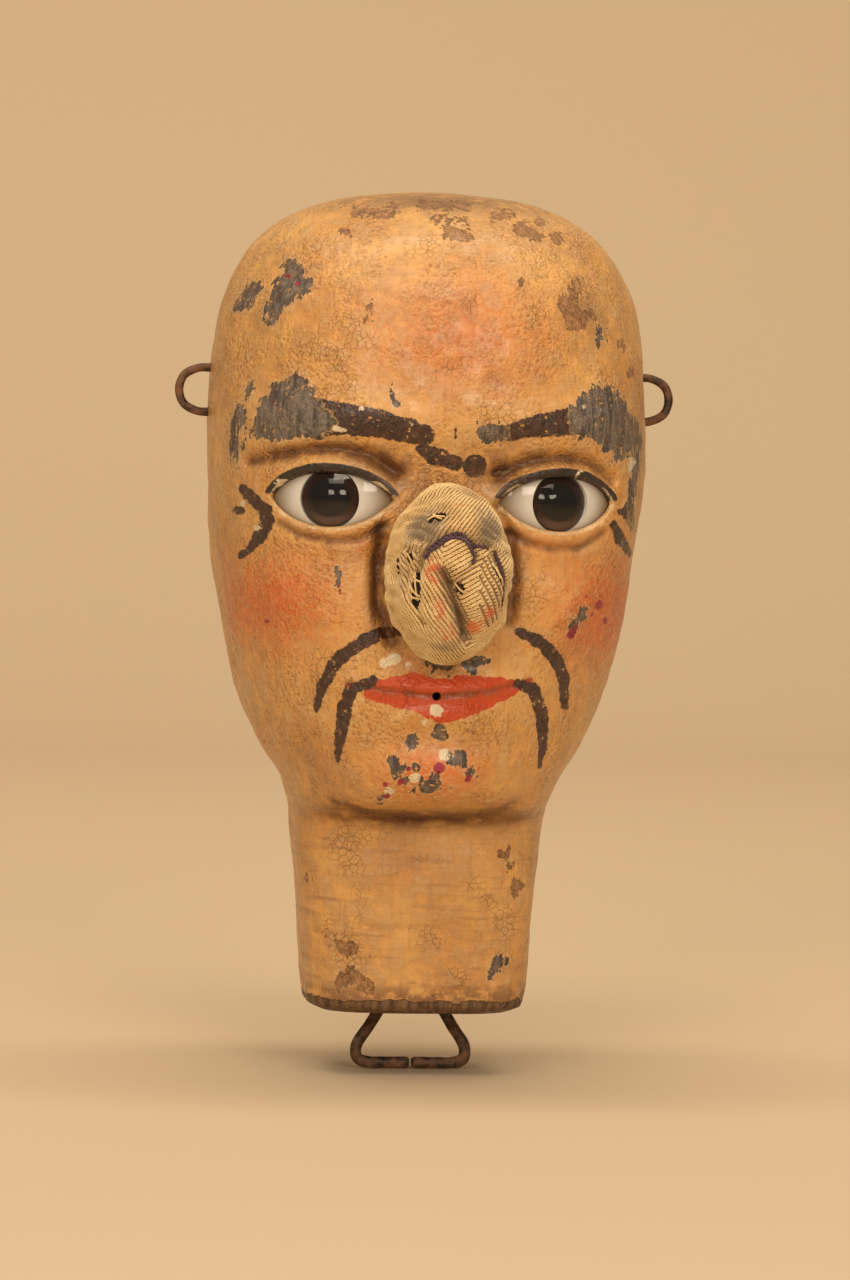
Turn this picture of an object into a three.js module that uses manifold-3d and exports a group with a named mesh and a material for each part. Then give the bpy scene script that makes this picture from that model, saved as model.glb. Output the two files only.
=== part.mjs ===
// A carved and painted marionette head on a plain tapered neck.
// The skull and neck are one block. The face is sawn off on a flat plane, so that glass eyes can
// be bedded in it from behind, and is pegged back on. A padded nose wrapped in knit cloth is
// pegged into the face. Wire loops at the temples take the head strings, and a loose wire link
// under the neck carries the body.
//
// Millimetres. The origin is the centre of the neck's flat underside, +Z points up and the face
// looks along -Y.

import * as THREE from 'three';
import { mergeVertices } from 'three/addons/utils/BufferGeometryUtils.js';
import Module from 'manifold-3d';

const wasm = await Module();
wasm.setup();

// ---- driving dimensions ----

const neckLength = 37;
const neckBottomWidth = 41;
const neckTopWidth = 47.6;
const neckBottomDepth = 35;
const neckTopDepth = 40;
const neckEdgeRound = 2.4;

const headHeight = 117.3;
const headWidth = 82;
const faceDepth = 44;
const skullDepth = 42;

const eyeHeight = 96.6;
const eyeSpacing = 38.4;
const eyeWidth = 26;
const eyeTall = 21;
const eyeThick = 14;
const eyeTurn = THREE.MathUtils.degToRad(18);
const irisRadius = 5.5;
const irisThick = 1.1;
const irisInset = 1.6;
const pupilRadius = 3.2;
const corneaRise = 0.9;
const lidOverEye = 1.5;
const lidOpeningWidth = 22.6;
const lidOpeningAbove = 5.9;
const lidOpeningBelow = 5.1;
const beddingRadius = 7;
const beddingThick = 4.35;

const noseHeight = 83.4;
const noseWidth = 24.4;
const noseTall = 34;
const noseThick = 22;
const noseProud = 17;
const noseClothThick = 1.2;
const noseClothMouth = 6;
const nosePegRadius = 2.5;
const nosePegInFace = 9;
const nosePegInNose = 10;

const mouthHeight = 60.2;
const mouthHoleRadius = 0.8;
const mouthHoleDepth = 7;

const dowelRadius = 2.5;
const dowelLength = 15;
const upperDowelHeight = 127;
const upperDowelSpacing = 40;
const lowerDowelHeight = 57;
const lowerDowelSpacing = 32;

const loopWire = 1.6;
const loopHeight = 116.3;
const loopSpread = 8.4;
const loopReach = 6.6;
const loopDriven = 9;

const hollowRadius = 12;
const hollowDepth = 10;
const stapleWire = 1.8;
const stapleSpread = 12;
const stapleBarHeight = 4.6;
const stapleDriven = 10;
const linkWire = 2.2;
const linkLean = THREE.MathUtils.degToRad(31);
const linkDrop = 15.5;
const linkCorner = 3;
const linkJointGap = 0.5;

const threadWire = 0.8;

// Clearances: between pieces that touch or are fused, round glued pegs, and round the loose link's bend.
const touch = 0.3;
const pegGap = 0.3;
const linkPlay = 0.45;

// ---- colours ----

const paint = new THREE.Color(0.72, 0.42, 0.16);
const bareWood = new THREE.Color(0.45, 0.27, 0.13);

function finish(color, roughness, metalness = 0) {
	return new THREE.MeshStandardMaterial({ color, roughness, metalness });
}

// ---- solids: closed meshes joined and cut ----

function solid(geometry) {
	const bare = geometry.clone();
	bare.deleteAttribute('normal');
	bare.deleteAttribute('uv');
	const merged = mergeVertices(bare, 1e-4);
	return new wasm.Manifold(new wasm.Mesh({
		numProp: 3,
		vertProperties: new Float32Array(merged.attributes.position.array),
		triVerts: new Uint32Array(merged.index.array)
	}));
}

function geometryOf(body) {
	const mesh = body.getMesh();
	const geometry = new THREE.BufferGeometry();
	geometry.setAttribute('position', new THREE.BufferAttribute(mesh.vertProperties, 3));
	geometry.setIndex(new THREE.BufferAttribute(mesh.triVerts, 1));
	geometry.computeVertexNormals();
	return geometry;
}

function addNode(parent, name, shape, material) {
	const geometry = shape instanceof THREE.BufferGeometry ? shape : geometryOf(shape);
	const mesh = new THREE.Mesh(geometry, material);
	mesh.name = name;
	parent.add(mesh);
	return mesh;
}

// A round bar between two points.
function rod(from, to, radius, sides = 16) {
	const along = new THREE.Vector3().subVectors(to, from);
	const geometry = new THREE.CylinderGeometry(radius, radius, along.length(), sides);
	geometry.applyQuaternion(new THREE.Quaternion().setFromUnitVectors(
		new THREE.Vector3(0, 1, 0), along.clone().normalize()));
	const middle = new THREE.Vector3().addVectors(from, to).multiplyScalar(0.5);
	return geometry.translate(middle.x, middle.y, middle.z);
}

// An ellipsoid with its poles front and back.
function ellipsoid(width, depth, tall, around = 24, rows = 14) {
	const ball = new THREE.SphereGeometry(1, around, rows).rotateX(Math.PI / 2);
	return ball.scale(width / 2, depth / 2, tall / 2);
}

// Round wire of one thickness swept along a curve.
function wire(curve, diameter, steps, sides = 8) {
	const section = new THREE.Shape();
	section.absarc(0, 0, diameter / 2, 0, 2 * Math.PI);
	return new THREE.ExtrudeGeometry(section, { extrudePath: curve, steps, curveSegments: sides / 2 });
}

// ---- the carved form: level sections from the underside of the neck to the crown ----

function section(z, width, front, back, square) {
	return { z, width, front, back, square };
}

function neckSection(share, inset, square) {
	const width = THREE.MathUtils.lerp(neckBottomWidth, neckTopWidth, share) / 2 - inset;
	const depth = THREE.MathUtils.lerp(neckBottomDepth, neckTopDepth, share) / 2 - inset;
	return section(share * neckLength, width, depth, depth, square);
}

// Shares of the head's own height, half width, depth before the axis and depth behind it.
function headSection(rise, width, front, back, square) {
	const z = neckLength + rise * headHeight;
	return section(z, width * headWidth / 2, front * faceDepth, back * skullDepth, square);
}

const edgeShare = neckEdgeRound / neckLength;
const sections = [
	neckSection(0, neckEdgeRound, 3.2),
	neckSection(edgeShare * 0.35, neckEdgeRound * 0.3, 3.3),
	neckSection(edgeShare, 0, 3.4),
	neckSection(0.35, 0, 3.4),
	neckSection(0.7, 0, 3.3),
	neckSection(0.95, 0, 3.1),
	headSection(0.01, 0.585, 0.60, 0.48, 2.8),
	headSection(0.03, 0.605, 0.76, 0.53, 2.5),
	headSection(0.065, 0.650, 0.86, 0.61, 2.3),
	headSection(0.12, 0.750, 0.905, 0.74, 2.2),
	headSection(0.20, 0.845, 0.905, 0.87, 2.25),
	headSection(0.30, 0.915, 0.92, 0.95, 2.4),
	headSection(0.42, 0.965, 0.945, 1.0, 2.7),
	headSection(0.54, 0.992, 0.97, 1.0, 2.8),
	headSection(0.65, 1.0, 1.0, 0.99, 2.6),
	headSection(0.75, 0.983, 0.985, 0.955, 2.45),
	headSection(0.83, 0.943, 0.935, 0.88, 2.4),
	headSection(0.90, 0.842, 0.815, 0.76, 2.35),
	headSection(0.95, 0.690, 0.65, 0.60, 2.3),
	headSection(0.985, 0.460, 0.43, 0.40, 2.2),
	headSection(1.0, 0.150, 0.14, 0.13, 2.0)
];

// A smooth curve through the values of one key of the sections.
function through(key, t) {
	const i = Math.min(Math.floor(t), sections.length - 2);
	const at = (k) => sections[Math.min(Math.max(k, 0), sections.length - 1)][key];
	const [a, b, c, d, s] = [at(i - 1), at(i), at(i + 1), at(i + 2), t - i];
	const bend = 2 * a - 5 * b + 4 * c - d;
	const twist = 3 * b - a - 3 * c + d;
	return 0.5 * (2 * b + (c - a) * s + bend * s * s + twist * s * s * s);
}

function sectionAt(t) {
	const keys = ['z', 'width', 'front', 'back', 'square'];
	return section(...keys.map((key) => through(key, t)));
}

function sectionAtHeight(z) {
	let low = 0;
	let high = sections.length - 1;
	for (let k = 0; k < 40; k ++) {
		const middle = (low + high) / 2;
		if (through('z', middle) < z) low = middle;
		else high = middle;
	}
	return sectionAt((low + high) / 2);
}

// A soft swelling of the carving, 1 at its centre.
function swell(x, z, width, tall, sharpness = 2) {
	return Math.exp(- (Math.abs(x / width) ** sharpness) - (Math.abs(z / tall) ** sharpness));
}

// How far the features stand out of the plain form, in front, in millimetres.
function relief(x, z) {
	const side = Math.abs(x);
	const eyeX = side - eyeSpacing / 2;
	const eyeZ = z - eyeHeight;
	return 2.0 * swell(eyeX, eyeZ - 14, 15, 5)
		- 2.6 * swell(eyeX, eyeZ, 16, 11, 3)
		+ 3.8 * swell(eyeX - 2.5, eyeZ, 14.5, 9, 4)
		+ 1.6 * swell(side - 24, z - noseHeight + 6, 11, 10)
		+ 1.6 * swell(x, z - mouthHeight - 2, 17, 10)
		+ 1.7 * swell(x, z - mouthHeight - 2.2, 14, 2.3)
		+ 1.8 * swell(x, z - mouthHeight + 2.6, 9, 2.4)
		- 0.9 * swell(x, z - mouthHeight + 8, 11, 2.6)
		+ 1.6 * swell(x, z - mouthHeight + 14, 11, 6);
}

// Depth of the carved face in front of the axis, at a point seen from the front.
function faceAt(x, z) {
	const { width, front, square } = sectionAtHeight(z);
	return front * (1 - Math.abs(x / width) ** square) ** (1 / square) + relief(x, z);
}

function carvedForm(columns = 56, rowsPerSection = 2) {
	const rows = (sections.length - 1) * rowsPerSection;
	const vertices = [];
	const faces = [];
	for (let row = 0; row <= rows; row ++) {
		const s = sectionAt(row / rowsPerSection);
		for (let column = 0; column < columns; column ++) {
			const angle = column / columns * 2 * Math.PI;
			const [c, d] = [Math.cos(angle), Math.sin(angle)];
			const x = Math.sign(c) * s.width * Math.abs(c) ** (2 / s.square);
			const reach = (d < 0 ? s.front : s.back) * Math.abs(d) ** (2 / s.square);
			const raised = d < 0 ? relief(x, s.z) * Math.min(1, Math.abs(d) * 1.6) : 0;
			vertices.push(x, Math.sign(d) * (reach + raised), s.z);
		}
	}
	const foot = vertices.length / 3;
	vertices.push(0, 0, 0);
	vertices.push(0, 0, neckLength + headHeight);
	for (let column = 0; column < columns; column ++) {
		const next = (column + 1) % columns;
		faces.push(foot, next, column);
		faces.push(foot + 1, rows * columns + column, rows * columns + next);
		for (let row = 0; row < rows; row ++) {
			const [a, b] = [row * columns + column, row * columns + next];
			faces.push(a, b, b + columns, a, b + columns, a + columns);
		}
	}
	const geometry = new THREE.BufferGeometry();
	geometry.setAttribute('position', new THREE.Float32BufferAttribute(vertices, 3));
	geometry.setIndex(faces);
	return solid(geometry);
}

// A block of space from one depth to another, larger than the head in the other two directions.
function slab(fromDepth, toDepth) {
	const reach = 2 * (neckLength + headHeight + headWidth);
	const box = new THREE.BoxGeometry(reach, toDepth - fromDepth, reach);
	return solid(box.translate(0, - (fromDepth + toDepth) / 2, 0));
}

// ---- eyes: pieces are made facing -Y about the eye's own centre, then placed ----

const eyeX = eyeSpacing / 2;
const eyeFront = faceAt(eyeX, eyeHeight) - lidOverEye;
const eyeCentre = eyeFront - eyeThick / 2;
const eyeReachBack = Math.hypot(eyeThick / 2 * Math.cos(eyeTurn), eyeWidth / 2 * Math.sin(eyeTurn));

// The face is sawn off far enough behind the turned eyes to leave room for the wax that beds them.
const maskPlane = eyeCentre - eyeReachBack - beddingThick;

function inSocket(geometry, side) {
	const placed = geometry.clone().rotateZ(side * eyeTurn);
	return placed.translate(side * eyeX, - eyeCentre, eyeHeight);
}

// A disc or ring about the eye's axis, from one depth to another measured back from the front of the eye.
function eyeDisc(radius, fromBack, toBack, sides = 24) {
	const y = - eyeThick / 2;
	return rod(new THREE.Vector3(0, y + fromBack, 0), new THREE.Vector3(0, y + toBack, 0), radius, sides);
}

function eyeBody(grow = 0) {
	return ellipsoid(eyeWidth + 2 * grow, eyeThick + 2 * grow, eyeTall + 2 * grow);
}

const seatFloor = irisInset + irisThick;

function eyeWhite() {
	const seat = eyeDisc(irisRadius + touch, - corneaRise - 1, seatFloor + touch);
	return solid(eyeBody()).subtract(solid(seat));
}

function eyeIris() {
	const button = solid(eyeDisc(irisRadius, irisInset, seatFloor));
	return button.subtract(solid(eyeDisc(pupilRadius + touch, irisInset - 1, irisInset + irisThick / 2)));
}

function eyePupil() {
	return eyeDisc(pupilRadius, irisInset, irisInset + irisThick / 2 - touch);
}

// The clear lens fills the seat before the iris, and domes a little out of the eye.
function eyeCornea() {
	const back = irisInset - touch;
	const rise = back + corneaRise;
	const domeRadius = (irisRadius ** 2 + rise ** 2) / (2 * rise);
	const profile = [new THREE.Vector2(0, 0)];
	const steps = 6;
	for (let k = 0; k < steps; k ++) {
		const x = irisRadius * (1 - k / steps);
		profile.push(new THREE.Vector2(x, Math.sqrt(domeRadius ** 2 - x ** 2) - (domeRadius - rise)));
	}
	profile.push(new THREE.Vector2(0, rise));
	const lens = new THREE.LatheGeometry(profile, 24).rotateX(Math.PI);
	return lens.translate(0, - eyeThick / 2 + back, 0);
}

// The almond opening between the lids, cut from the front to the middle of the eye.
function lidOpening() {
	const half = lidOpeningWidth / 2;
	const low = - lidOpeningBelow;
	const high = lidOpeningAbove * 1.35;
	const almond = new THREE.Shape();
	almond.moveTo(- half, 0);
	almond.bezierCurveTo(- half * 0.62, low * 1.25, half * 0.5, low * 1.45, half, 0);
	almond.bezierCurveTo(half * 0.62, high, - half * 0.62, high, - half, 0);
	const cutting = { depth: faceDepth, bevelEnabled: false, curveSegments: 14 };
	return new THREE.ExtrudeGeometry(almond, cutting).rotateX(Math.PI / 2);
}

// A wax pad from the flat back of the mask to the back of the glass.
function eyeBedding(side) {
	const centre = new THREE.Vector3(side * eyeX, - eyeCentre, eyeHeight);
	const back = centre.clone().setY(- maskPlane);
	const pad = solid(rod(back, centre, beddingRadius, 28));
	return pad.subtract(solid(inSocket(eyeBody(touch), side)));
}

function eyePocket(side) {
	const centre = new THREE.Vector3(side * eyeX, - eyeCentre, eyeHeight);
	const back = centre.clone().setY(- maskPlane + 1);
	return solid(inSocket(eyeBody(touch), side))
		.add(solid(rod(back, centre, beddingRadius + touch, 28)))
		.add(solid(inSocket(lidOpening(), side)));
}

// ---- nose ----

const noseFaceDepth = faceAt(0, noseHeight);
const noseFront = noseFaceDepth + noseProud;
const noseCentreDepth = noseFront - noseThick / 2;

function atNose(geometry) {
	return geometry.translate(0, - noseCentreDepth, noseHeight);
}

function noseBall(grow) {
	return atNose(ellipsoid(noseWidth + 2 * grow, noseThick + 2 * grow, noseTall + 2 * grow));
}

const coreInset = - noseClothThick - touch;
const coreBack = noseFront - noseThick - coreInset;
const pegInner = coreBack - nosePegInFace;
const pegOuter = coreBack + nosePegInNose;

function onNoseAxis(depth) {
	return new THREE.Vector3(0, - depth, noseHeight);
}

function nosePeg(radius, slack) {
	return rod(onNoseAxis(pegInner - slack), onNoseAxis(pegOuter + slack), radius, 20);
}

function noseCore() {
	return solid(noseBall(coreInset)).subtract(solid(nosePeg(nosePegRadius + pegGap, touch)));
}

// The cloth is open at the back, where its gathered edge is tucked in round the peg.
function noseCloth() {
	const behind = onNoseAxis(noseFront - noseThick - 2);
	const mouth = rod(behind, onNoseAxis(noseCentreDepth), noseClothMouth, 28);
	return solid(noseBall(0)).subtract(solid(noseBall(- noseClothThick))).subtract(solid(mouth));
}

// Thread laid over the front of the nose, along points given across and up from its centre.
function noseThread(points) {
	const lift = touch + threadWire / 2;
	const route = points.map(([x, z]) => {
		const across = x / (noseWidth / 2);
		const up = z / (noseTall / 2);
		const out = Math.sqrt(1 - across ** 2 - up ** 2);
		const normal = new THREE.Vector3(across / noseWidth, - out / noseThick, up / noseTall).normalize();
		const at = new THREE.Vector3(x, - (noseCentreDepth + noseThick / 2 * out), noseHeight + z);
		return at.addScaledVector(normal, lift);
	});
	return wire(new THREE.CatmullRomCurve3(route), threadWire, 5 * points.length, 6);
}

// ---- pegs, loops and link ----

function dowelEnds(x, z, slack) {
	const middle = maskPlane + touch / 2;
	return [
		new THREE.Vector3(x, - (middle - dowelLength / 2 - slack), z),
		new THREE.Vector3(x, - (middle + dowelLength / 2 + slack), z)
	];
}

const dowels = [
	{ name: 'mask_dowel_upper_left', x: - upperDowelSpacing / 2, z: upperDowelHeight },
	{ name: 'mask_dowel_upper_right', x: upperDowelSpacing / 2, z: upperDowelHeight },
	{ name: 'mask_dowel_lower_left', x: - lowerDowelSpacing / 2, z: lowerDowelHeight },
	{ name: 'mask_dowel_lower_right', x: lowerDowelSpacing / 2, z: lowerDowelHeight }
];

function dowelHole({ x, z }) {
	return solid(rod(...dowelEnds(x, z, touch), dowelRadius + pegGap));
}

const templeWidth = sectionAtHeight(loopHeight).width;

function loopCurve(side) {
	const inner = side * (templeWidth - loopDriven);
	const bend = side * (templeWidth + loopReach - loopWire / 2);
	const shoulder = side * (templeWidth + loopReach - loopSpread / 2);
	const rounding = THREE.MathUtils.lerp(shoulder, bend, 0.75);
	const halfDriven = side * (templeWidth - loopDriven / 2);
	const straight = [[inner, 1], [halfDriven, 1], [side * templeWidth, 1]];
	const upper = [...straight, [shoulder, 0.96], [rounding, 0.62]];
	const lower = upper.map(([x, share]) => [x, - share]).reverse();
	return new THREE.CatmullRomCurve3([...upper, [bend, 0], ...lower].map(([x, share]) =>
		new THREE.Vector3(x, 0, loopHeight + share * loopSpread / 2)));
}

function loopHoles(side) {
	const outer = side * (templeWidth + 1);
	const inner = side * (templeWidth - loopDriven - touch);
	const holes = [1, - 1].map((share) => {
		const z = loopHeight + share * loopSpread / 2;
		const [from, to] = [inner, outer].map((x) => new THREE.Vector3(x, 0, z));
		return solid(rod(from, to, loopWire / 2 + touch));
	});
	return holes[0].add(holes[1]);
}

function stapleTop() {
	return hollowDepth + stapleDriven;
}

function stapleCurve() {
	const half = stapleSpread / 2;
	const round = stapleWire;
	const low = stapleBarHeight;
	return new THREE.CatmullRomCurve3([
		new THREE.Vector3(0, - half, stapleTop()),
		new THREE.Vector3(0, - half, hollowDepth),
		new THREE.Vector3(0, - half, low + round),
		new THREE.Vector3(0, - half + 0.3 * round, low + 0.3 * round),
		new THREE.Vector3(0, - half + round, low),
		new THREE.Vector3(0, 0, low),
		new THREE.Vector3(0, half - round, low),
		new THREE.Vector3(0, half - 0.3 * round, low + 0.3 * round),
		new THREE.Vector3(0, half, low + round),
		new THREE.Vector3(0, half, hollowDepth),
		new THREE.Vector3(0, half, stapleTop())
	]);
}

function stapleHoles() {
	const holes = [1, - 1].map((side) => {
		const y = side * stapleSpread / 2;
		const [from, to] = [hollowDepth - 1, stapleTop() + touch].map((z) => new THREE.Vector3(0, y, z));
		return solid(rod(from, to, stapleWire / 2 + touch));
	});
	return holes[0].add(holes[1]);
}

// The link is bent round the staple's bar, spreads to two round corners and is butted in the
// middle of its foot.
function linkCurve() {
	const bendRadius = stapleWire / 2 + linkPlay + linkWire / 2;
	const axis = stapleBarHeight;
	const foot = axis - linkDrop;
	const leave = new THREE.Vector2(bendRadius * Math.cos(linkLean), bendRadius * Math.sin(linkLean));
	const legRun = (leave.y + linkDrop - linkCorner) * Math.tan(linkLean);
	const corner = new THREE.Vector2(leave.x + legRun, foot + linkCorner);
	const half = [];
	half.push([linkJointGap / 2, foot]);
	half.push([corner.x * 0.5, foot]);
	half.push([corner.x - linkCorner * 0.9, foot]);
	half.push([corner.x - linkCorner * 0.1, foot + linkCorner * 0.25]);
	half.push([corner.x, foot + linkCorner]);
	for (const share of [0.3, 0.6, 0.85]) {
		half.push([
			THREE.MathUtils.lerp(corner.x, leave.x, share),
			THREE.MathUtils.lerp(corner.y, axis + leave.y, share)
		]);
	}
	const bends = 4;
	for (let k = 0; k < bends; k ++) {
		const angle = THREE.MathUtils.lerp(linkLean, Math.PI / 2, k / bends);
		half.push([bendRadius * Math.cos(angle), axis + bendRadius * Math.sin(angle)]);
	}
	const top = [[0, axis + bendRadius]];
	const otherHalf = half.map(([x, z]) => [- x, z]).reverse();
	const route = [...half, ...top, ...otherHalf];
	return new THREE.CatmullRomCurve3(route.map(([x, z]) => new THREE.Vector3(x, 0, z)));
}

function neckHollow() {
	const [from, to] = [- 1, hollowDepth].map((z) => new THREE.Vector3(0, 0, z));
	return solid(rod(from, to, hollowRadius, 40));
}

// ---- assembly ----

const puppetHead = new THREE.Group();
const form = carvedForm();

function makeHeadBlock() {
	const backSlab = slab(- 2 * skullDepth, maskPlane - touch / 2);
	let block = form.intersect(backSlab).subtract(neckHollow()).subtract(stapleHoles());
	for (const side of [- 1, 1]) block = block.subtract(loopHoles(side));
	for (const dowel of dowels) block = block.subtract(dowelHole(dowel));
	addNode(puppetHead, 'head_block', block, finish(paint, 0.45));
}

function makeFaceMask() {
	const frontSlab = slab(maskPlane + touch / 2, 2 * faceDepth);
	let mask = form.intersect(frontSlab);
	for (const side of [- 1, 1]) mask = mask.subtract(eyePocket(side));
	for (const dowel of dowels) mask = mask.subtract(dowelHole(dowel));
	mask = mask.subtract(solid(noseBall(touch))).subtract(solid(nosePeg(nosePegRadius + pegGap, touch)));
	const lipDepth = faceAt(0, mouthHeight);
	const hole = rod(new THREE.Vector3(0, - (lipDepth + 1), mouthHeight),
		new THREE.Vector3(0, - (lipDepth - mouthHoleDepth), mouthHeight), mouthHoleRadius, 12);
	addNode(puppetHead, 'face_mask', mask.subtract(solid(hole)), finish(paint, 0.4));
}

function makeDowels() {
	for (const { name, x, z } of dowels) {
		addNode(puppetHead, name, rod(...dowelEnds(x, z, 0), dowelRadius), finish(bareWood, 0.7));
	}
}

function makeEyes() {
	const wax = new THREE.Color(0.35, 0.22, 0.1);
	for (const [side, label] of [[- 1, 'left'], [1, 'right']]) {
		const layers = [
			['eye_white_', geometryOf(eyeWhite()), finish(new THREE.Color(0.85, 0.82, 0.74), 0.12)],
			['eye_iris_', geometryOf(eyeIris()), finish(new THREE.Color(0.12, 0.04, 0.02), 0.15)],
			['eye_pupil_', eyePupil(), finish(new THREE.Color(0.01, 0.01, 0.01), 0.1)],
			['eye_cornea_', eyeCornea(), finish(new THREE.Color(0.95, 0.95, 0.95), 0.03)]
		];
		for (const [stem, geometry, material] of layers) {
			addNode(puppetHead, stem + label, inSocket(geometry, side), material);
		}
		addNode(puppetHead, 'eye_bedding_' + label, eyeBedding(side), finish(wax, 0.6));
	}
}

function makeNose() {
	const cloth = new THREE.Color(0.62, 0.5, 0.33);
	const thread = new THREE.Color(0.08, 0.04, 0.07);
	addNode(puppetHead, 'nose_peg', nosePeg(nosePegRadius, 0), finish(bareWood, 0.7));
	addNode(puppetHead, 'nose_core', noseCore(), finish(new THREE.Color(0.08, 0.05, 0.03), 0.95));
	addNode(puppetHead, 'nose_cloth', noseCloth(), finish(cloth, 0.95));
	const upper = [[- 5.5, 4.6], [- 3.6, 6.2], [- 1, 7.6], [1.6, 7.8], [3.4, 6.4], [2.6, 5], [0.6, 4.6],
		[0, 3.2], [2, 1.6], [4.2, 0.4]];
	const sideways = [[8.6, 5.4], [9.3, 2.4], [9.9, - 1], [9.8, - 4.2], [9.2, - 7]];
	addNode(puppetHead, 'nose_thread_upper', noseThread(upper), finish(thread, 0.8));
	addNode(puppetHead, 'nose_thread_side', noseThread(sideways), finish(thread, 0.8));
}

function makeWires() {
	const iron = new THREE.Color(0.12, 0.08, 0.06);
	addNode(puppetHead, 'temple_loop_left', wire(loopCurve(- 1), loopWire, 32), finish(iron, 0.6, 0.7));
	addNode(puppetHead, 'temple_loop_right', wire(loopCurve(1), loopWire, 32), finish(iron, 0.6, 0.7));
	addNode(puppetHead, 'neck_staple', wire(stapleCurve(), stapleWire, 30), finish(iron, 0.7, 0.6));
	addNode(puppetHead, 'neck_link', wire(linkCurve(), linkWire, 56), finish(iron, 0.7, 0.6));
}

makeHeadBlock();
makeFaceMask();
makeDowels();
makeEyes();
makeNose();
makeWires();

export default puppetHead;
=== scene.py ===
# A carved and painted marionette head with glass eyes and a nose wrapped in knit cloth.
import math
from types import SimpleNamespace

import bpy
import numpy as np
from mathutils import Matrix, Vector


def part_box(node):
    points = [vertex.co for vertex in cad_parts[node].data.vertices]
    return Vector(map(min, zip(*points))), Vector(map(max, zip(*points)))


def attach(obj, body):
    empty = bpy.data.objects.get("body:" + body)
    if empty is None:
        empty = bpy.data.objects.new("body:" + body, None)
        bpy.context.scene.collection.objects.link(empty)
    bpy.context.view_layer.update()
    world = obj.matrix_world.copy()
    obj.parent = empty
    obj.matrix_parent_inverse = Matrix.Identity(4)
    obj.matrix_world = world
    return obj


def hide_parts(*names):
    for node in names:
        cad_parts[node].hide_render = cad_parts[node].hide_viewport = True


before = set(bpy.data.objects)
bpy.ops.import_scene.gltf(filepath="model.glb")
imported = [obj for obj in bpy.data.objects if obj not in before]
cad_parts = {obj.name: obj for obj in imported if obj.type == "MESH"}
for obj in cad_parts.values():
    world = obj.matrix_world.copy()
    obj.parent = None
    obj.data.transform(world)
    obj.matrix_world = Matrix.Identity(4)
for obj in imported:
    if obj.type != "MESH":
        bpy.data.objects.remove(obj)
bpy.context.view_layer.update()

# ---- camera ----
# The head is looked at from a metre away, a little from its own right and about level with its
# mouth. It leans a hair to one side, as it does on its stand.

camera_distance = 1.0
camera_side = math.radians(-6)
camera_height = 0.105
camera_yaw = math.radians(-6.06)
camera_pitch = math.radians(87.98)
camera_roll = math.radians(1.3)

camera_data = bpy.data.cameras.new("camera")
camera_data.lens = 148
camera_data.sensor_fit = "VERTICAL"
camera_data.sensor_height = 36
camera = bpy.data.objects.new("camera", camera_data)
aim = (
    Matrix.Rotation(camera_yaw, 4, "Z")
    @ Matrix.Rotation(camera_pitch, 4, "X")
    @ Matrix.Rotation(camera_roll, 4, "Z")
)
stand_point = (
    camera_distance * math.sin(camera_side),
    -camera_distance * math.cos(camera_side),
    camera_height,
)
camera.matrix_world = Matrix.Translation(stand_point) @ aim
bpy.context.scene.collection.objects.link(camera)
bpy.context.scene.camera = camera

# ---- studio ----
# A pale floor that runs up into the wall behind, two soft boxes above the camera, a broad light
# overhead and a dim warm room.

floor_gap = 0.0002
floor_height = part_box("neck_link")[0].z - floor_gap
wall_bend = 0.45
floor_front = -1.6
wall_foot = 1.5
wall_height = 1.8
floor_half_width = 2.2
floor_colour = (0.62, 0.50, 0.345)
lamp_colour = (1.0, 0.84, 0.66)


def add_mesh(name, points, faces, smooth=True):
    mesh = bpy.data.meshes.new(name)
    mesh.from_pydata(np.asarray(points, float).tolist(), [], faces)
    mesh.validate()
    if smooth:
        mesh.shade_smooth()
    else:
        mesh.shade_flat()
    piece = bpy.data.objects.new(name, mesh)
    bpy.context.scene.collection.objects.link(piece)
    return piece


def grid_faces(rows, columns, closed=False):
    """Quads of a grid of points stored row by row; a closed grid joins its last column to its first."""
    faces = []
    for row in range(rows - 1):
        for column in range(columns if closed else columns - 1):
            a = row * columns + column
            b = row * columns + (column + 1) % columns
            faces.append((a, b, b + columns, a + columns))
    return faces


def floor_profile():
    line = [(floor_front, 0.0), (wall_foot - wall_bend, 0.0)]
    steps = 16
    for k in range(1, steps + 1):
        angle = k / steps * math.pi / 2
        y = wall_foot - wall_bend + wall_bend * math.sin(angle)
        line.append((y, wall_bend * (1 - math.cos(angle))))
    return line + [(wall_foot, wall_height)]


floor_points = []
for y, z in floor_profile():
    for x in (-floor_half_width, floor_half_width):
        floor_points.append((x, y, floor_height + z))
floor = add_mesh("floor", floor_points, grid_faces(len(floor_points) // 2, 2))


def new_material(name):
    """A bare material and its node tree."""
    material = bpy.data.materials.new(name)
    material.use_nodes = True
    material.node_tree.nodes.clear()
    return material, material.node_tree


def add_node(tree, kind, inputs=(), **settings):
    """A shader node with its settings made and its inputs linked or filled in."""
    node = tree.nodes.new(kind)
    for key, value in settings.items():
        setattr(node, key, value)
    for key, value in dict(inputs).items():
        if isinstance(value, bpy.types.NodeSocket):
            tree.links.new(value, node.inputs[key])
        else:
            node.inputs[key].default_value = value
    return node


def number(tree, operation, a, b=0.0):
    return add_node(tree, "ShaderNodeMath", {0: a, 1: b}, operation=operation).outputs[0]


def rise(tree, value, low, high, start=0.0, end=1.0):
    """Goes smoothly from start to end as value goes from low to high."""
    inputs = {0: value, 1: low, 2: high, 3: start, 4: end}
    return add_node(tree, "ShaderNodeMapRange", inputs, interpolation_type="SMOOTHSTEP").outputs[0]


def colour_mix(tree, share, a, b):
    inputs = {0: share}
    for key, value in ((6, a), (7, b)):
        inputs[key] = value if isinstance(value, bpy.types.NodeSocket) else (*value, 1.0)
    return add_node(tree, "ShaderNodeMix", inputs, data_type="RGBA").outputs[2]


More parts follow.
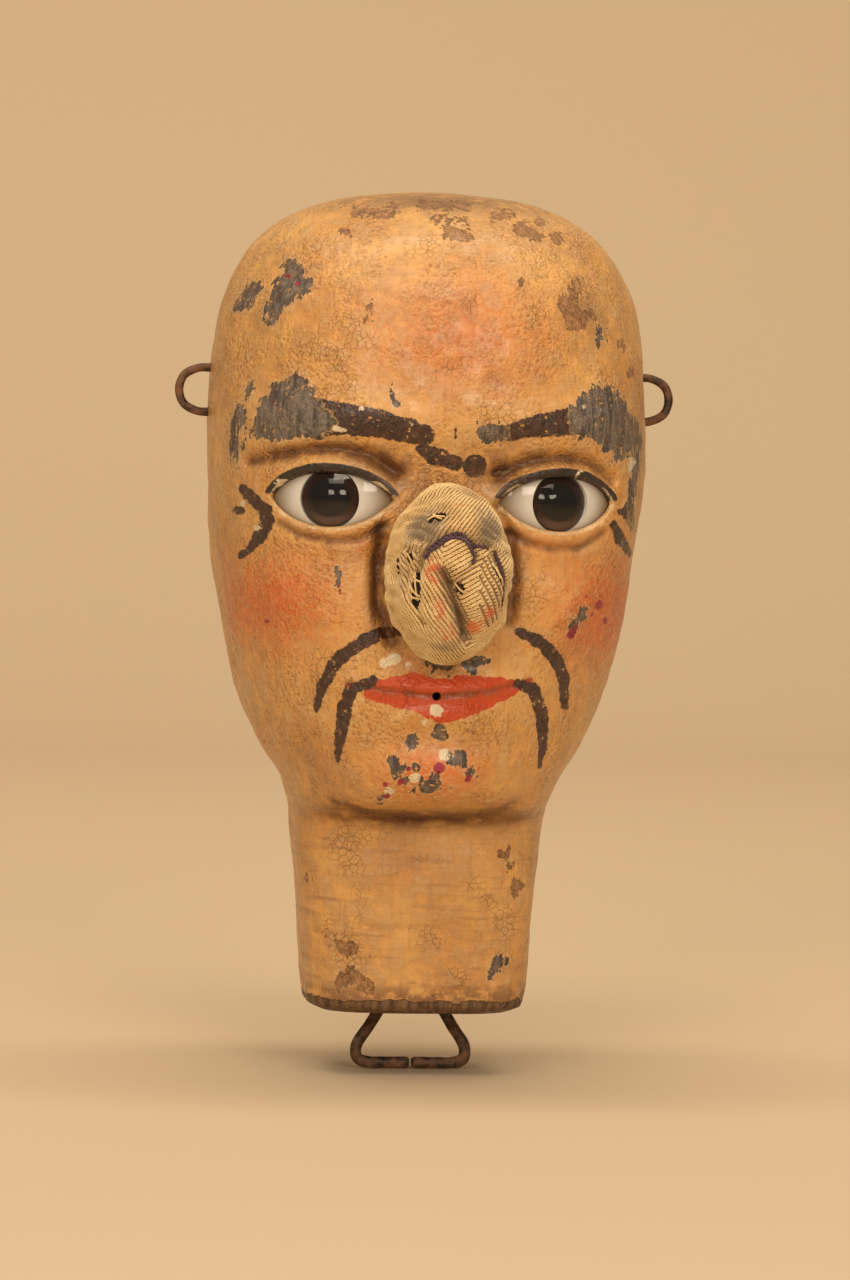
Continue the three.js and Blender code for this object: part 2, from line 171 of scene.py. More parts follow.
def speckle(tree, where, size, detail=3.0, roughness=0.55, stretch=(1, 1, 1), distortion=0.0):
    """Cloudy noise, from 0 to 1, in lumps of about the size given in metres."""
    placed = add_node(tree, "ShaderNodeMapping", {"Vector": where, "Scale": stretch}).outputs[0]
    inputs = {"Vector": placed, "Scale": 1 / size, "Detail": detail, "Roughness": roughness,
              "Distortion": distortion}
    return add_node(tree, "ShaderNodeTexNoise", inputs).outputs[0]


def object_coordinates(tree):
    return add_node(tree, "ShaderNodeTexCoord").outputs["Object"]


def finish_material(tree, shader):
    add_node(tree, "ShaderNodeOutputMaterial", {"Surface": shader})


def bumped(tree, height, depth):
    inputs = {"Height": height, "Distance": depth, "Strength": 1.0}
    return add_node(tree, "ShaderNodeBump", inputs).outputs[0]


def floor_material():
    material, tree = new_material("floor_paper")
    where = object_coordinates(tree)
    cloud = speckle(tree, where, 0.5, detail=2.0)
    darker = tuple(0.96 * c for c in floor_colour)
    colour = colour_mix(tree, cloud, floor_colour, darker)
    shader = add_node(tree, "ShaderNodeBsdfPrincipled", {"Base Color": colour, "Roughness": 0.9})
    finish_material(tree, shader.outputs[0])
    return material


floor.data.materials.append(floor_material())


def add_lamp(name, place, target, size, power):
    lamp = bpy.data.lights.new(name, "AREA")
    lamp.shape = "RECTANGLE"
    lamp.size, lamp.size_y = size
    lamp.energy = power
    lamp.color = lamp_colour
    holder = bpy.data.objects.new(name, lamp)
    back = Vector(place) - Vector(target)
    holder.rotation_euler = back.to_track_quat("Z", "Y").to_euler()
    holder.location = place
    bpy.context.scene.collection.objects.link(holder)
    return holder


head_middle = (0, -0.02, 0.095)
for side, label in ((-1, "left"), (1, "right")):
    place = (-0.11 + side * 0.33, -1.12, 0.46)
    add_lamp("soft_box_" + label, place, head_middle, (0.34, 0.26), 3.6)
add_lamp("overhead", (-0.1, -0.72, 1.05), head_middle, (0.8, 0.4), 4.8)
add_lamp("wall_wash", (0, 0.1, 1.75), (0, 1.5, 0.35), (1.8, 0.6), 26.0)

room = bpy.data.worlds.new("room")
room.use_nodes = True
room.node_tree.nodes["Background"].inputs["Color"].default_value = (0.9, 0.74, 0.55, 1)
room.node_tree.nodes["Background"].inputs["Strength"].default_value = 0.32
bpy.context.scene.world = room
bpy.context.scene.view_settings.view_transform = "Standard"

# ---- carved head and neck ----
# The head is carved from one block of close-grained wood. The face is sawn off on a flat plane
# and pegged back on, and the whole is coated with gesso and painted in oil colours.

mm = 0.001
neck_length = 37.0
neck_bottom = (20.5, 17.5)
neck_top = (23.8, 20.0)
neck_edge_round = 2.4
head_height = 117.3
head_half_width = 41.0
face_depth = 44.0
skull_depth = 42.0
eye_height = 96.6
eye_side = 19.2
nose_height = 83.4
mouth_height = 60.2


def neck_section(share, inset, square):
    half = [a + (b - a) * share - inset for a, b in zip(neck_bottom, neck_top)]
    return (share * neck_length, half[0], half[1], half[1], square)


def head_section(rise_share, width, front, back, square):
    z = neck_length + rise_share * head_height
    return (z, width * head_half_width, front * face_depth, back * skull_depth, square)


edge_share = neck_edge_round / neck_length
# Level sections: height, half width, depth in front, depth behind, and how square the outline is.
sections = np.array([
    neck_section(0, neck_edge_round, 3.2),
    neck_section(edge_share * 0.35, neck_edge_round * 0.3, 3.3),
    neck_section(edge_share, 0, 3.4),
    neck_section(0.35, 0, 3.4),
    neck_section(0.7, 0, 3.3),
    neck_section(0.95, 0, 3.1),
    head_section(0.01, 0.585, 0.60, 0.48, 2.8),
    head_section(0.03, 0.605, 0.76, 0.53, 2.5),
    head_section(0.065, 0.650, 0.86, 0.61, 2.3),
    head_section(0.12, 0.750, 0.905, 0.74, 2.2),
    head_section(0.20, 0.845, 0.905, 0.87, 2.25),
    head_section(0.30, 0.915, 0.92, 0.95, 2.4),
    head_section(0.42, 0.965, 0.945, 1.0, 2.7),
    head_section(0.54, 0.992, 0.97, 1.0, 2.8),
    head_section(0.65, 1.0, 1.0, 0.99, 2.6),
    head_section(0.75, 0.983, 0.985, 0.955, 2.45),
    head_section(0.83, 0.943, 0.935, 0.88, 2.4),
    head_section(0.90, 0.842, 0.815, 0.76, 2.35),
    head_section(0.95, 0.690, 0.65, 0.60, 2.3),
    head_section(0.985, 0.460, 0.43, 0.40, 2.2),
    head_section(1.0, 0.150, 0.14, 0.13, 2.0),
])


def smooth_between(rows, t):
    """A smooth curve through rows of values, at row numbers t, which may lie between rows."""
    t = np.asarray(t, float)
    i = np.minimum(t.astype(int), len(rows) - 2)
    s = (t - i)[..., None]
    a, b, c, d = (rows[np.clip(i + k, 0, len(rows) - 1)] for k in (-1, 0, 1, 2))
    bend = 2 * a - 5 * b + 4 * c - d
    twist = 3 * b - a - 3 * c + d
    return 0.5 * (2 * b + (c - a) * s + bend * s**2 + twist * s**3)


def even_steps(line, spacing):
    """Row numbers along line at which steps of its length are about as long as spacing says."""
    lengths = np.linalg.norm(np.diff(line[:, :2], axis=0), axis=1)
    steps = np.concatenate([[0], np.cumsum(lengths / spacing[:-1])])
    count = int(round(steps[-1]))
    return np.interp(np.linspace(0, steps[-1], count + 1), steps, np.arange(len(line)))


fine_rows = smooth_between(sections, np.linspace(0, len(sections) - 1, 6001))


def section_at_height(z):
    return [np.interp(z, fine_rows[:, 0], fine_rows[:, k]) for k in (1, 2, 3, 4)]


def swell(x, z, width, tall, sharpness=2):
    return np.exp(-(np.abs(x / width) ** sharpness) - np.abs(z / tall) ** sharpness)


def features(x, z):
    """How far the carved features stand out of the plain form, in front."""
    side = np.abs(x)
    eye_x = side - eye_side
    eye_z = z - eye_height
    mouth_z = z - mouth_height
    return (
        2.0 * swell(eye_x, eye_z - 14, 15, 5)
        - 2.6 * swell(eye_x, eye_z, 16, 11, 3)
        + 3.8 * swell(eye_x - 2.5, eye_z, 14.5, 9, 4)
        + 1.6 * swell(side - 24, z - nose_height + 6, 11, 10)
        + 1.6 * swell(x, mouth_z - 2, 17, 10)
        + 1.7 * swell(x, mouth_z - 2.2, 14, 2.3)
        + 1.8 * swell(x, mouth_z + 2.6, 9, 2.4)
        - 0.9 * swell(x, mouth_z + 8, 11, 2.6)
        + 1.6 * swell(x, mouth_z + 14, 11, 6)
    )


def face_at(x, z):
    width, front, _, square = section_at_height(z)
    return front * (1 - np.abs(x / width) ** square) ** (1 / square) + features(x, z)


def stroke_distance(x, z, stroke):
    """Distance to a brush stroke, a line of points (x, z, half width); negative inside it."""
    nearest = np.full(np.shape(x), 99.0)
    points = stroke if len(stroke) > 1 else [stroke[0], stroke[0]]
    for (ax, az, ar), (bx, bz, br) in zip(points, points[1:]):
        dx, dz = bx - ax, bz - az
        along = ((x - ax) * dx + (z - az) * dz) / max(dx * dx + dz * dz, 1e-9)
        along = np.clip(along, 0, 1)
        away = np.hypot(x - ax - along * dx, z - az - along * dz)
        nearest = np.minimum(nearest, away - (ar + (br - ar) * along))
    return nearest


def lumps(points, size, seed):
    """Smooth waviness of about the given size, between -1 and 1, the same on every run."""
    draw = np.random.default_rng(seed)
    total = np.zeros(len(points))
    waves = 18
    for _ in range(waves):
        direction = draw.normal(size=3)
        direction /= np.linalg.norm(direction)
        length = size * draw.uniform(0.7, 1.6)
        total += np.sin(points @ direction * 2 * math.pi / length + draw.uniform(0, 2 * math.pi))
    return total / math.sqrt(waves)


# The eyes' places, as the sockets are cut for them.
eye_width = 26.0
eye_tall = 21.0
eye_thick = 14.0
eye_turn = math.radians(18)
lid_over_eye = 1.5
lid_width = 22.6
lid_above = 5.9
lid_below = 5.1
bedding_radius = 7.0
bedding_thick = 4.35
eye_gap = 0.3
eye_front = float(face_at(eye_side, eye_height)) - lid_over_eye
eye_centre = eye_front - eye_thick / 2
eye_reach_back = math.hypot(
    eye_thick / 2 * math.cos(eye_turn), eye_width / 2 * math.sin(eye_turn)
)
saw_plane = eye_centre - eye_reach_back - bedding_thick


def in_eye(points, side):
    """Points in the eye's own frame: x across, y back, z up from its centre."""
    moved = points - np.array([side * eye_side, -eye_centre, eye_height])
    c, s = math.cos(-side * eye_turn), math.sin(-side * eye_turn)
    x = moved[:, 0] * c - moved[:, 1] * s
    y = moved[:, 0] * s + moved[:, 1] * c
    return np.stack([x, y, moved[:, 2]], 1)


def from_eye(points, side):
    c, s = math.cos(side * eye_turn), math.sin(side * eye_turn)
    x = points[:, 0] * c - points[:, 1] * s + side * eye_side
    y = points[:, 0] * s + points[:, 1] * c - eye_centre
    return np.stack([x, y, points[:, 2] + eye_height], 1)


def bezier(a, b, c, d, steps):
    t = np.linspace(0, 1, steps, endpoint=False)[:, None]
    a, b, c, d = (np.array(p, float) for p in (a, b, c, d))
    return a * (1 - t) ** 3 + 3 * b * t * (1 - t) ** 2 + 3 * c * t**2 * (1 - t) + d * t**3


def lid_outline():
    half = lid_width / 2
    low, high = -lid_below, (lid_above - lid_droop) * 1.35
    below = bezier((-half, 0), (-half * 0.62, low * 1.25), (half * 0.5, low * 1.45), (half, 0), 28)
    above = bezier((half, 0), (half * 0.62, high), (-half * 0.62, high), (-half, 0), 28)
    return np.concatenate([below, above])


def outline_distance(x, z, outline):
    """Distance to a closed outline, negative inside."""
    nearest = np.full(np.shape(x), 99.0)
    inside = np.zeros(np.shape(x), bool)
    for (ax, az), (bx, bz) in zip(outline, np.roll(outline, -1, axis=0)):
        dx, dz = bx - ax, bz - az
        along = np.clip(((x - ax) * dx + (z - az) * dz) / (dx * dx + dz * dz), 0, 1)
        nearest = np.minimum(nearest, np.hypot(x - ax - along * dx, z - az - along * dz))
        if abs(dz) > 1e-9:
            crosses = (az > z) != (bz > z)
            inside ^= crosses & (x < ax + (z - az) / dz * dx)
    return np.where(inside, -nearest, nearest)


lid_droop = 1.2
lid_rows = lid_outline()
lid_roll = 1.7

# Lines cut with a gouge: the fold over each lid, the bag below it, the gap beside the nose, the
# line under the chin and the line between the lips. Each has its depth, then its points: x and
# height, with the cut's half width.
gouge_cuts = [
    (2.4, [(-35.0, 102.9, 1.0), (-29.2, 104.4, 1.1), (-24.0, 105.5, 1.2), (-19.4, 105.7, 1.2),
           (-14.2, 104.7, 1.5), (-9.2, 101.6, 2.0)]),
    (2.4, [(9.2, 101.8, 2.0), (15.1, 104.1, 1.5), (20.8, 104.9, 1.2), (26.7, 104.1, 1.1),
           (31.4, 101.0, 1.0)]),
    (1.1, [(-29.8, 91.8, 0.8), (-26.3, 89.7, 0.9), (-21.0, 88.9, 0.9), (-15.6, 89.3, 0.9),
           (-11.0, 92.0, 0.8)]),
    (1.1, [(11.5, 91.2, 0.8), (15.8, 89.0, 0.9), (20.4, 88.2, 0.9), (25.3, 88.6, 0.9),
           (29.6, 91.2, 0.8)]),
    (3.2, [(-11.6, 89.0, 1.5), (-12.0, 84.0, 1.6), (-11.6, 77.5, 1.6),
           (-9.2, 71.0, 1.5)]),
    (1.6, [(9.6, 95.5, 1.2), (12.0, 90.0, 1.2), (13.0, 83.0, 1.2), (12.2, 75.0, 1.2)]),
    (1.6, [(-18.0, 40.6, 1.5), (-14.0, 39.0, 1.5), (-9.0, 37.7, 1.6), (0.0, 37.2, 1.6),
           (7.5, 37.8, 1.6), (12.0, 39.2, 1.5), (15.0, 40.6, 1.5)]),
    (0.5, [(-16.8, 62.8, 0.4), (-9.0, 61.6, 0.5), (-1.1, 61.0, 0.5), (8.0, 61.8, 0.5),
           (16.4, 63.8, 0.4)]),
]


def carve(points):
    """Moves the points of the plain form to the carved surface."""
    x, y, z = points.T.copy()
    _, front, _, square = section_at_height(z)
    facing = np.clip(np.clip(-y / front, 0, 1) ** (square / 2) * 1.6, 0, 1)
    depth = -y + features(x, z) * facing
    for cut, line in gouge_cuts:
        near = stroke_distance(x, z, [(px, pz, 0) for px, pz, _ in line])
        breadth = np.mean([half for _, _, half in line])
        depth -= cut * np.exp(-((near / breadth) ** 2)) * facing
    inner_corner = swell(np.abs(x) - 10.5, z - 102, 4.5, 4.5)
    depth -= 1.6 * inner_corner * facing
    carved = np.stack([x, np.where(y < 0, -depth, y), z], 1)
    outward = carved / np.maximum(np.linalg.norm(carved * [1, 1, 0], axis=1), 1)[:, None]
    outward[:, 2] = 0
    wobble = 0.22 * lumps(carved, 15, 1) + 0.07 * lumps(carved, 5, 2)
    carved += outward * wobble[:, None]
    return roll_lids(carved)


def roll_lids(points):
    """Rolls the lids' edges down to the glass and drops the surface inside them behind it."""
    for side in (-1, 1):
        local = in_eye(points, side)
        near = np.hypot(local[:, 0] / lid_width, local[:, 2] / lid_width) < 1.0
        near &= points[:, 1] < -saw_plane
        x, y, z = local[near].T
        edge = outline_distance(x, z, lid_rows)
        fall = np.clip(1 - (x / (eye_width / 2)) ** 2 - (z / (eye_tall / 2)) ** 2, 0, 1)
        glass = -eye_thick / 2 * np.sqrt(fall)
        over = np.maximum(glass - y, 0.6)
        share = np.clip(edge / lid_roll, 0, 1)
        rolled = eye_gap + (over - eye_gap) * np.sqrt(1 - (1 - share) ** 2)
        behind = eye_gap + 3.0 * np.minimum(edge, 0)
        height = np.where(edge > 0, rolled, np.maximum(behind, -4.5))
        height = np.where(share < 1, height, over)
        local[near, 1] = glass - np.where(share < 1, height, glass - y)
        points[near] = from_eye(local, side)[near]
    return points


def carved_form():
    """The whole carved outside as a closed mesh: rings up the form, finest over the face."""
    face_rows = (fine_rows[:, 0] > 38) & (fine_rows[:, 0] < 153)
    heights = smooth_between(
        sections, even_steps(fine_rows[:, [0, 2]], np.where(face_rows, 0.38, 0.8)) / 6000
        * (len(sections) - 1))
    turn = np.linspace(-math.pi, math.pi, 4001)
    spacing = np.where(np.abs(turn) < math.radians(66), 0.0092, 0.034)
    columns = np.stack([turn, np.zeros_like(turn)], 1)
    turns = np.interp(even_steps(columns, spacing), np.arange(4001), turn)[:-1]
    sine, cosine = np.sin(turns), np.cos(turns)
    rings = []
    for z, width, front, back, square in heights:
        depth = np.where(cosine > 0, front, back)
        reach = (np.abs(sine / width) ** square + np.abs(cosine / depth) ** square) ** (-1 / square)
        rings.append(np.stack([reach * sine, -reach * cosine, np.full_like(reach, z)], 1))
    cap_steps = 12
    lids = []
    for end in (rings[0], rings[-1]):
        for k in range(1, cap_steps):
            lids.append(end * [1 - k / cap_steps, 1 - k / cap_steps, 1])
    stack = lids[: cap_steps - 1][::-1] + rings + lids[cap_steps - 1:]
    body = carve(np.concatenate(stack))
    bottom = len(body)
    ends = [[0, 0, body[0, 2]], [0, 0, body[-1, 2]]]
    count = len(turns)
    faces = grid_faces(len(stack), count, closed=True)
    top_ring = bottom - count
    for k in range(count):
        n = (k + 1) % count
        faces.append((bottom, n, k))
        faces.append((bottom + 1, top_ring + k, top_ring + n))
    return add_mesh("carved_form", np.concatenate([body, ends]) * mm, faces)


def round_bar(start, end, radius, sides=48):
    """A closed round bar between two points, in millimetres, for cutting holes."""
    start, end = np.array(start, float), np.array(end, float)
    along = (end - start) / np.linalg.norm(end - start)
    across = np.cross(along, [0, 0, 1] if abs(along[2]) < 0.9 else [1, 0, 0])
    across /= np.linalg.norm(across)
    over = np.cross(along, across)
    turns = np.linspace(0, 2 * math.pi, sides, endpoint=False)
    ring = radius * (np.outer(np.cos(turns), across) + np.outer(np.sin(turns), over))
    points = np.concatenate([start + ring, end + ring])
    faces = grid_faces(2, sides, closed=True)
    faces.append(tuple(range(sides))[::-1])
    faces.append(tuple(range(sides, 2 * sides)))
    return points, faces


def ball(half_width, half_depth, half_height):
    """A closed ellipsoid about the origin, in millimetres, with its poles front and back."""
    around, rows = 96, 48
    points = [[0, -half_depth, 0]]
    for k in range(1, rows):
        lean = math.pi * k / rows
        for j in range(around):
            turn = 2 * math.pi * j / around
            points.append([half_width * math.sin(lean) * math.cos(turn), -half_depth * math.cos(lean),
                           half_height * math.sin(lean) * math.sin(turn)])
    points.append([0, half_depth, 0])
    faces = [(a + 1, b + 1, c + 1, d + 1) for a, b, c, d in grid_faces(rows - 1, around, closed=True)]
    last = len(points) - 1
    for j in range(around):
        n = (j + 1) % around
        faces.append((0, 1 + n, 1 + j))
        faces.append((last, last - around + j, last - around + n))
    return np.array(points), [face[::-1] for face in faces]


def cutter(points, faces):
    tool = add_mesh("cutter", np.asarray(points) * mm, faces, smooth=False)
    flip_inside_out(tool)
    return tool


def flip_inside_out(piece):
    """Turns a closed mesh's faces round if they point inwards."""
    mesh = piece.data
    mesh.calc_loop_triangles()
    corners = np.array([[mesh.vertices[v].co[:] for v in t.vertices] for t in mesh.loop_triangles])
    if np.einsum("ij,ij->i", corners[:, 0], np.cross(corners[:, 1], corners[:, 2])).sum() < 0:
        mesh.flip_normals()


def cut_away(piece, tools, operation="DIFFERENCE"):
    """Cuts the tools out of the piece, one after another, and throws the tools away."""
    for tool in tools:
        modifier = piece.modifiers.new("cut", "BOOLEAN")
        modifier.object = tool
        modifier.operation = operation
        modifier.solver = "MANIFOLD"
    settle(piece)
    for tool in tools:
        bpy.data.objects.remove(tool)
    return piece


def settle(piece):
    """Makes the piece's modifiers part of its mesh."""
    shown = piece.evaluated_get(bpy.context.evaluated_depsgraph_get())
    mesh = bpy.data.meshes.new_from_object(shown)
    piece.modifiers.clear()
    piece.data = mesh
    return piece


def slab(from_depth, to_depth):
    reach = 3 * head_height
    points = [(x, -d, z) for d in (from_depth, to_depth) for x, z in
              ((-reach, -reach), (reach, -reach), (reach, reach), (-reach, reach))]
    faces = [(0, 1, 2, 3), (7, 6, 5, 4), (0, 4, 5, 1), (1, 5, 6, 2), (2, 6, 7, 3), (3, 7, 4, 0)]
    return cutter(points, faces)


nose_low, nose_high = (np.array(corner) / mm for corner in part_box("nose_cloth"))
nose_half = (nose_high - nose_low) / 2
nose_depth = float(face_at(0, nose_height)) + 17.0 - 11.0
nose_reach = 11.0
peg_radius = 2.5
peg_gap = 0.3
dowel_places = [(-20, 127), (20, 127), (-16, 57), (16, 57)]
dowel_half = 7.5
hollow_radius = 12.0
hollow_depth = 10.0
staple_half = 6.0
staple_wire = 0.9
loop_wire = 0.8
loop_half = 4.2
loop_height = 116.3
loop_driven = 9.0
temple = float(section_at_height(loop_height)[0])


def dowel_holes():
    holes = []
    for x, z in dowel_places:
        ends = [(x, -(saw_plane + s * (dowel_half + peg_gap)), z) for s in (-1, 1)]
        holes.append(cutter(*round_bar(*ends, peg_radius + peg_gap)))
    return holes


def eye_sockets():
    """The seat for each glass eye, open to the back of the mask where the wax goes in."""
    holes = []
    for side in (-1, 1):
        seat, faces = ball(eye_width / 2 + eye_gap, eye_thick / 2 + eye_gap, eye_tall / 2 + eye_gap)
        holes.append(cutter(from_eye(seat, side), faces))
        back = (side * eye_side, -saw_plane + 1, eye_height)
        middle = (side * eye_side, -eye_centre, eye_height)
        holes.append(cutter(*round_bar(back, middle, bedding_radius + eye_gap)))
    return holes


def nose_seat():
    seat, faces = ball(nose_half[0] + 0.3, nose_reach + 0.3, nose_half[2] + 0.3)
    seat = seat + [0, -nose_depth, nose_height]
    inner = nose_depth - nose_reach + 1.5 - 9.3
    peg = round_bar((0, -inner, nose_height), (0, -nose_depth, nose_height), peg_radius + peg_gap)
    return [cutter(seat, faces), cutter(*peg)]


def mouth_hole():
    lip = float(face_at(0, mouth_height))
    place = mouth_height + 0.8
    return cutter(*round_bar((-1.1, -(lip + 4), place), (-1.1, -(lip - 7), place), 0.8))


def neck_holes():
    holes = [cutter(*round_bar((0, 0, -1), (0, 0, hollow_depth), hollow_radius, 96))]
    for y in (-staple_half, staple_half):
        holes.append(cutter(*round_bar((0, y, 9), (0, y, 20.3), staple_wire + 0.3)))
    for side in (-1, 1):
        for z in (loop_height - loop_half, loop_height + loop_half):
            ends = ((side * (temple - loop_driven - 0.3), 0, z), (side * (temple + 2), 0, z))
            holes.append(cutter(*round_bar(*ends, loop_wire + 0.15)))
    return holes


form = carved_form()
form.name = "carved_face"
skull = form.copy()
skull.data = form.data.copy()
skull.name = "carved_head_and_neck"
bpy.context.scene.collection.objects.link(skull)
cut_away(form, [slab(saw_plane + 0.02, 200)], "INTERSECT")
cut_away(form, [*eye_sockets(), *dowel_holes(), *nose_seat(), mouth_hole()])
cut_away(skull, [slab(-200, saw_plane - 0.02)], "INTERSECT")
cut_away(skull, [*dowel_holes(), *neck_holes()])
form.data.name = form.name
skull.data.name = skull.name

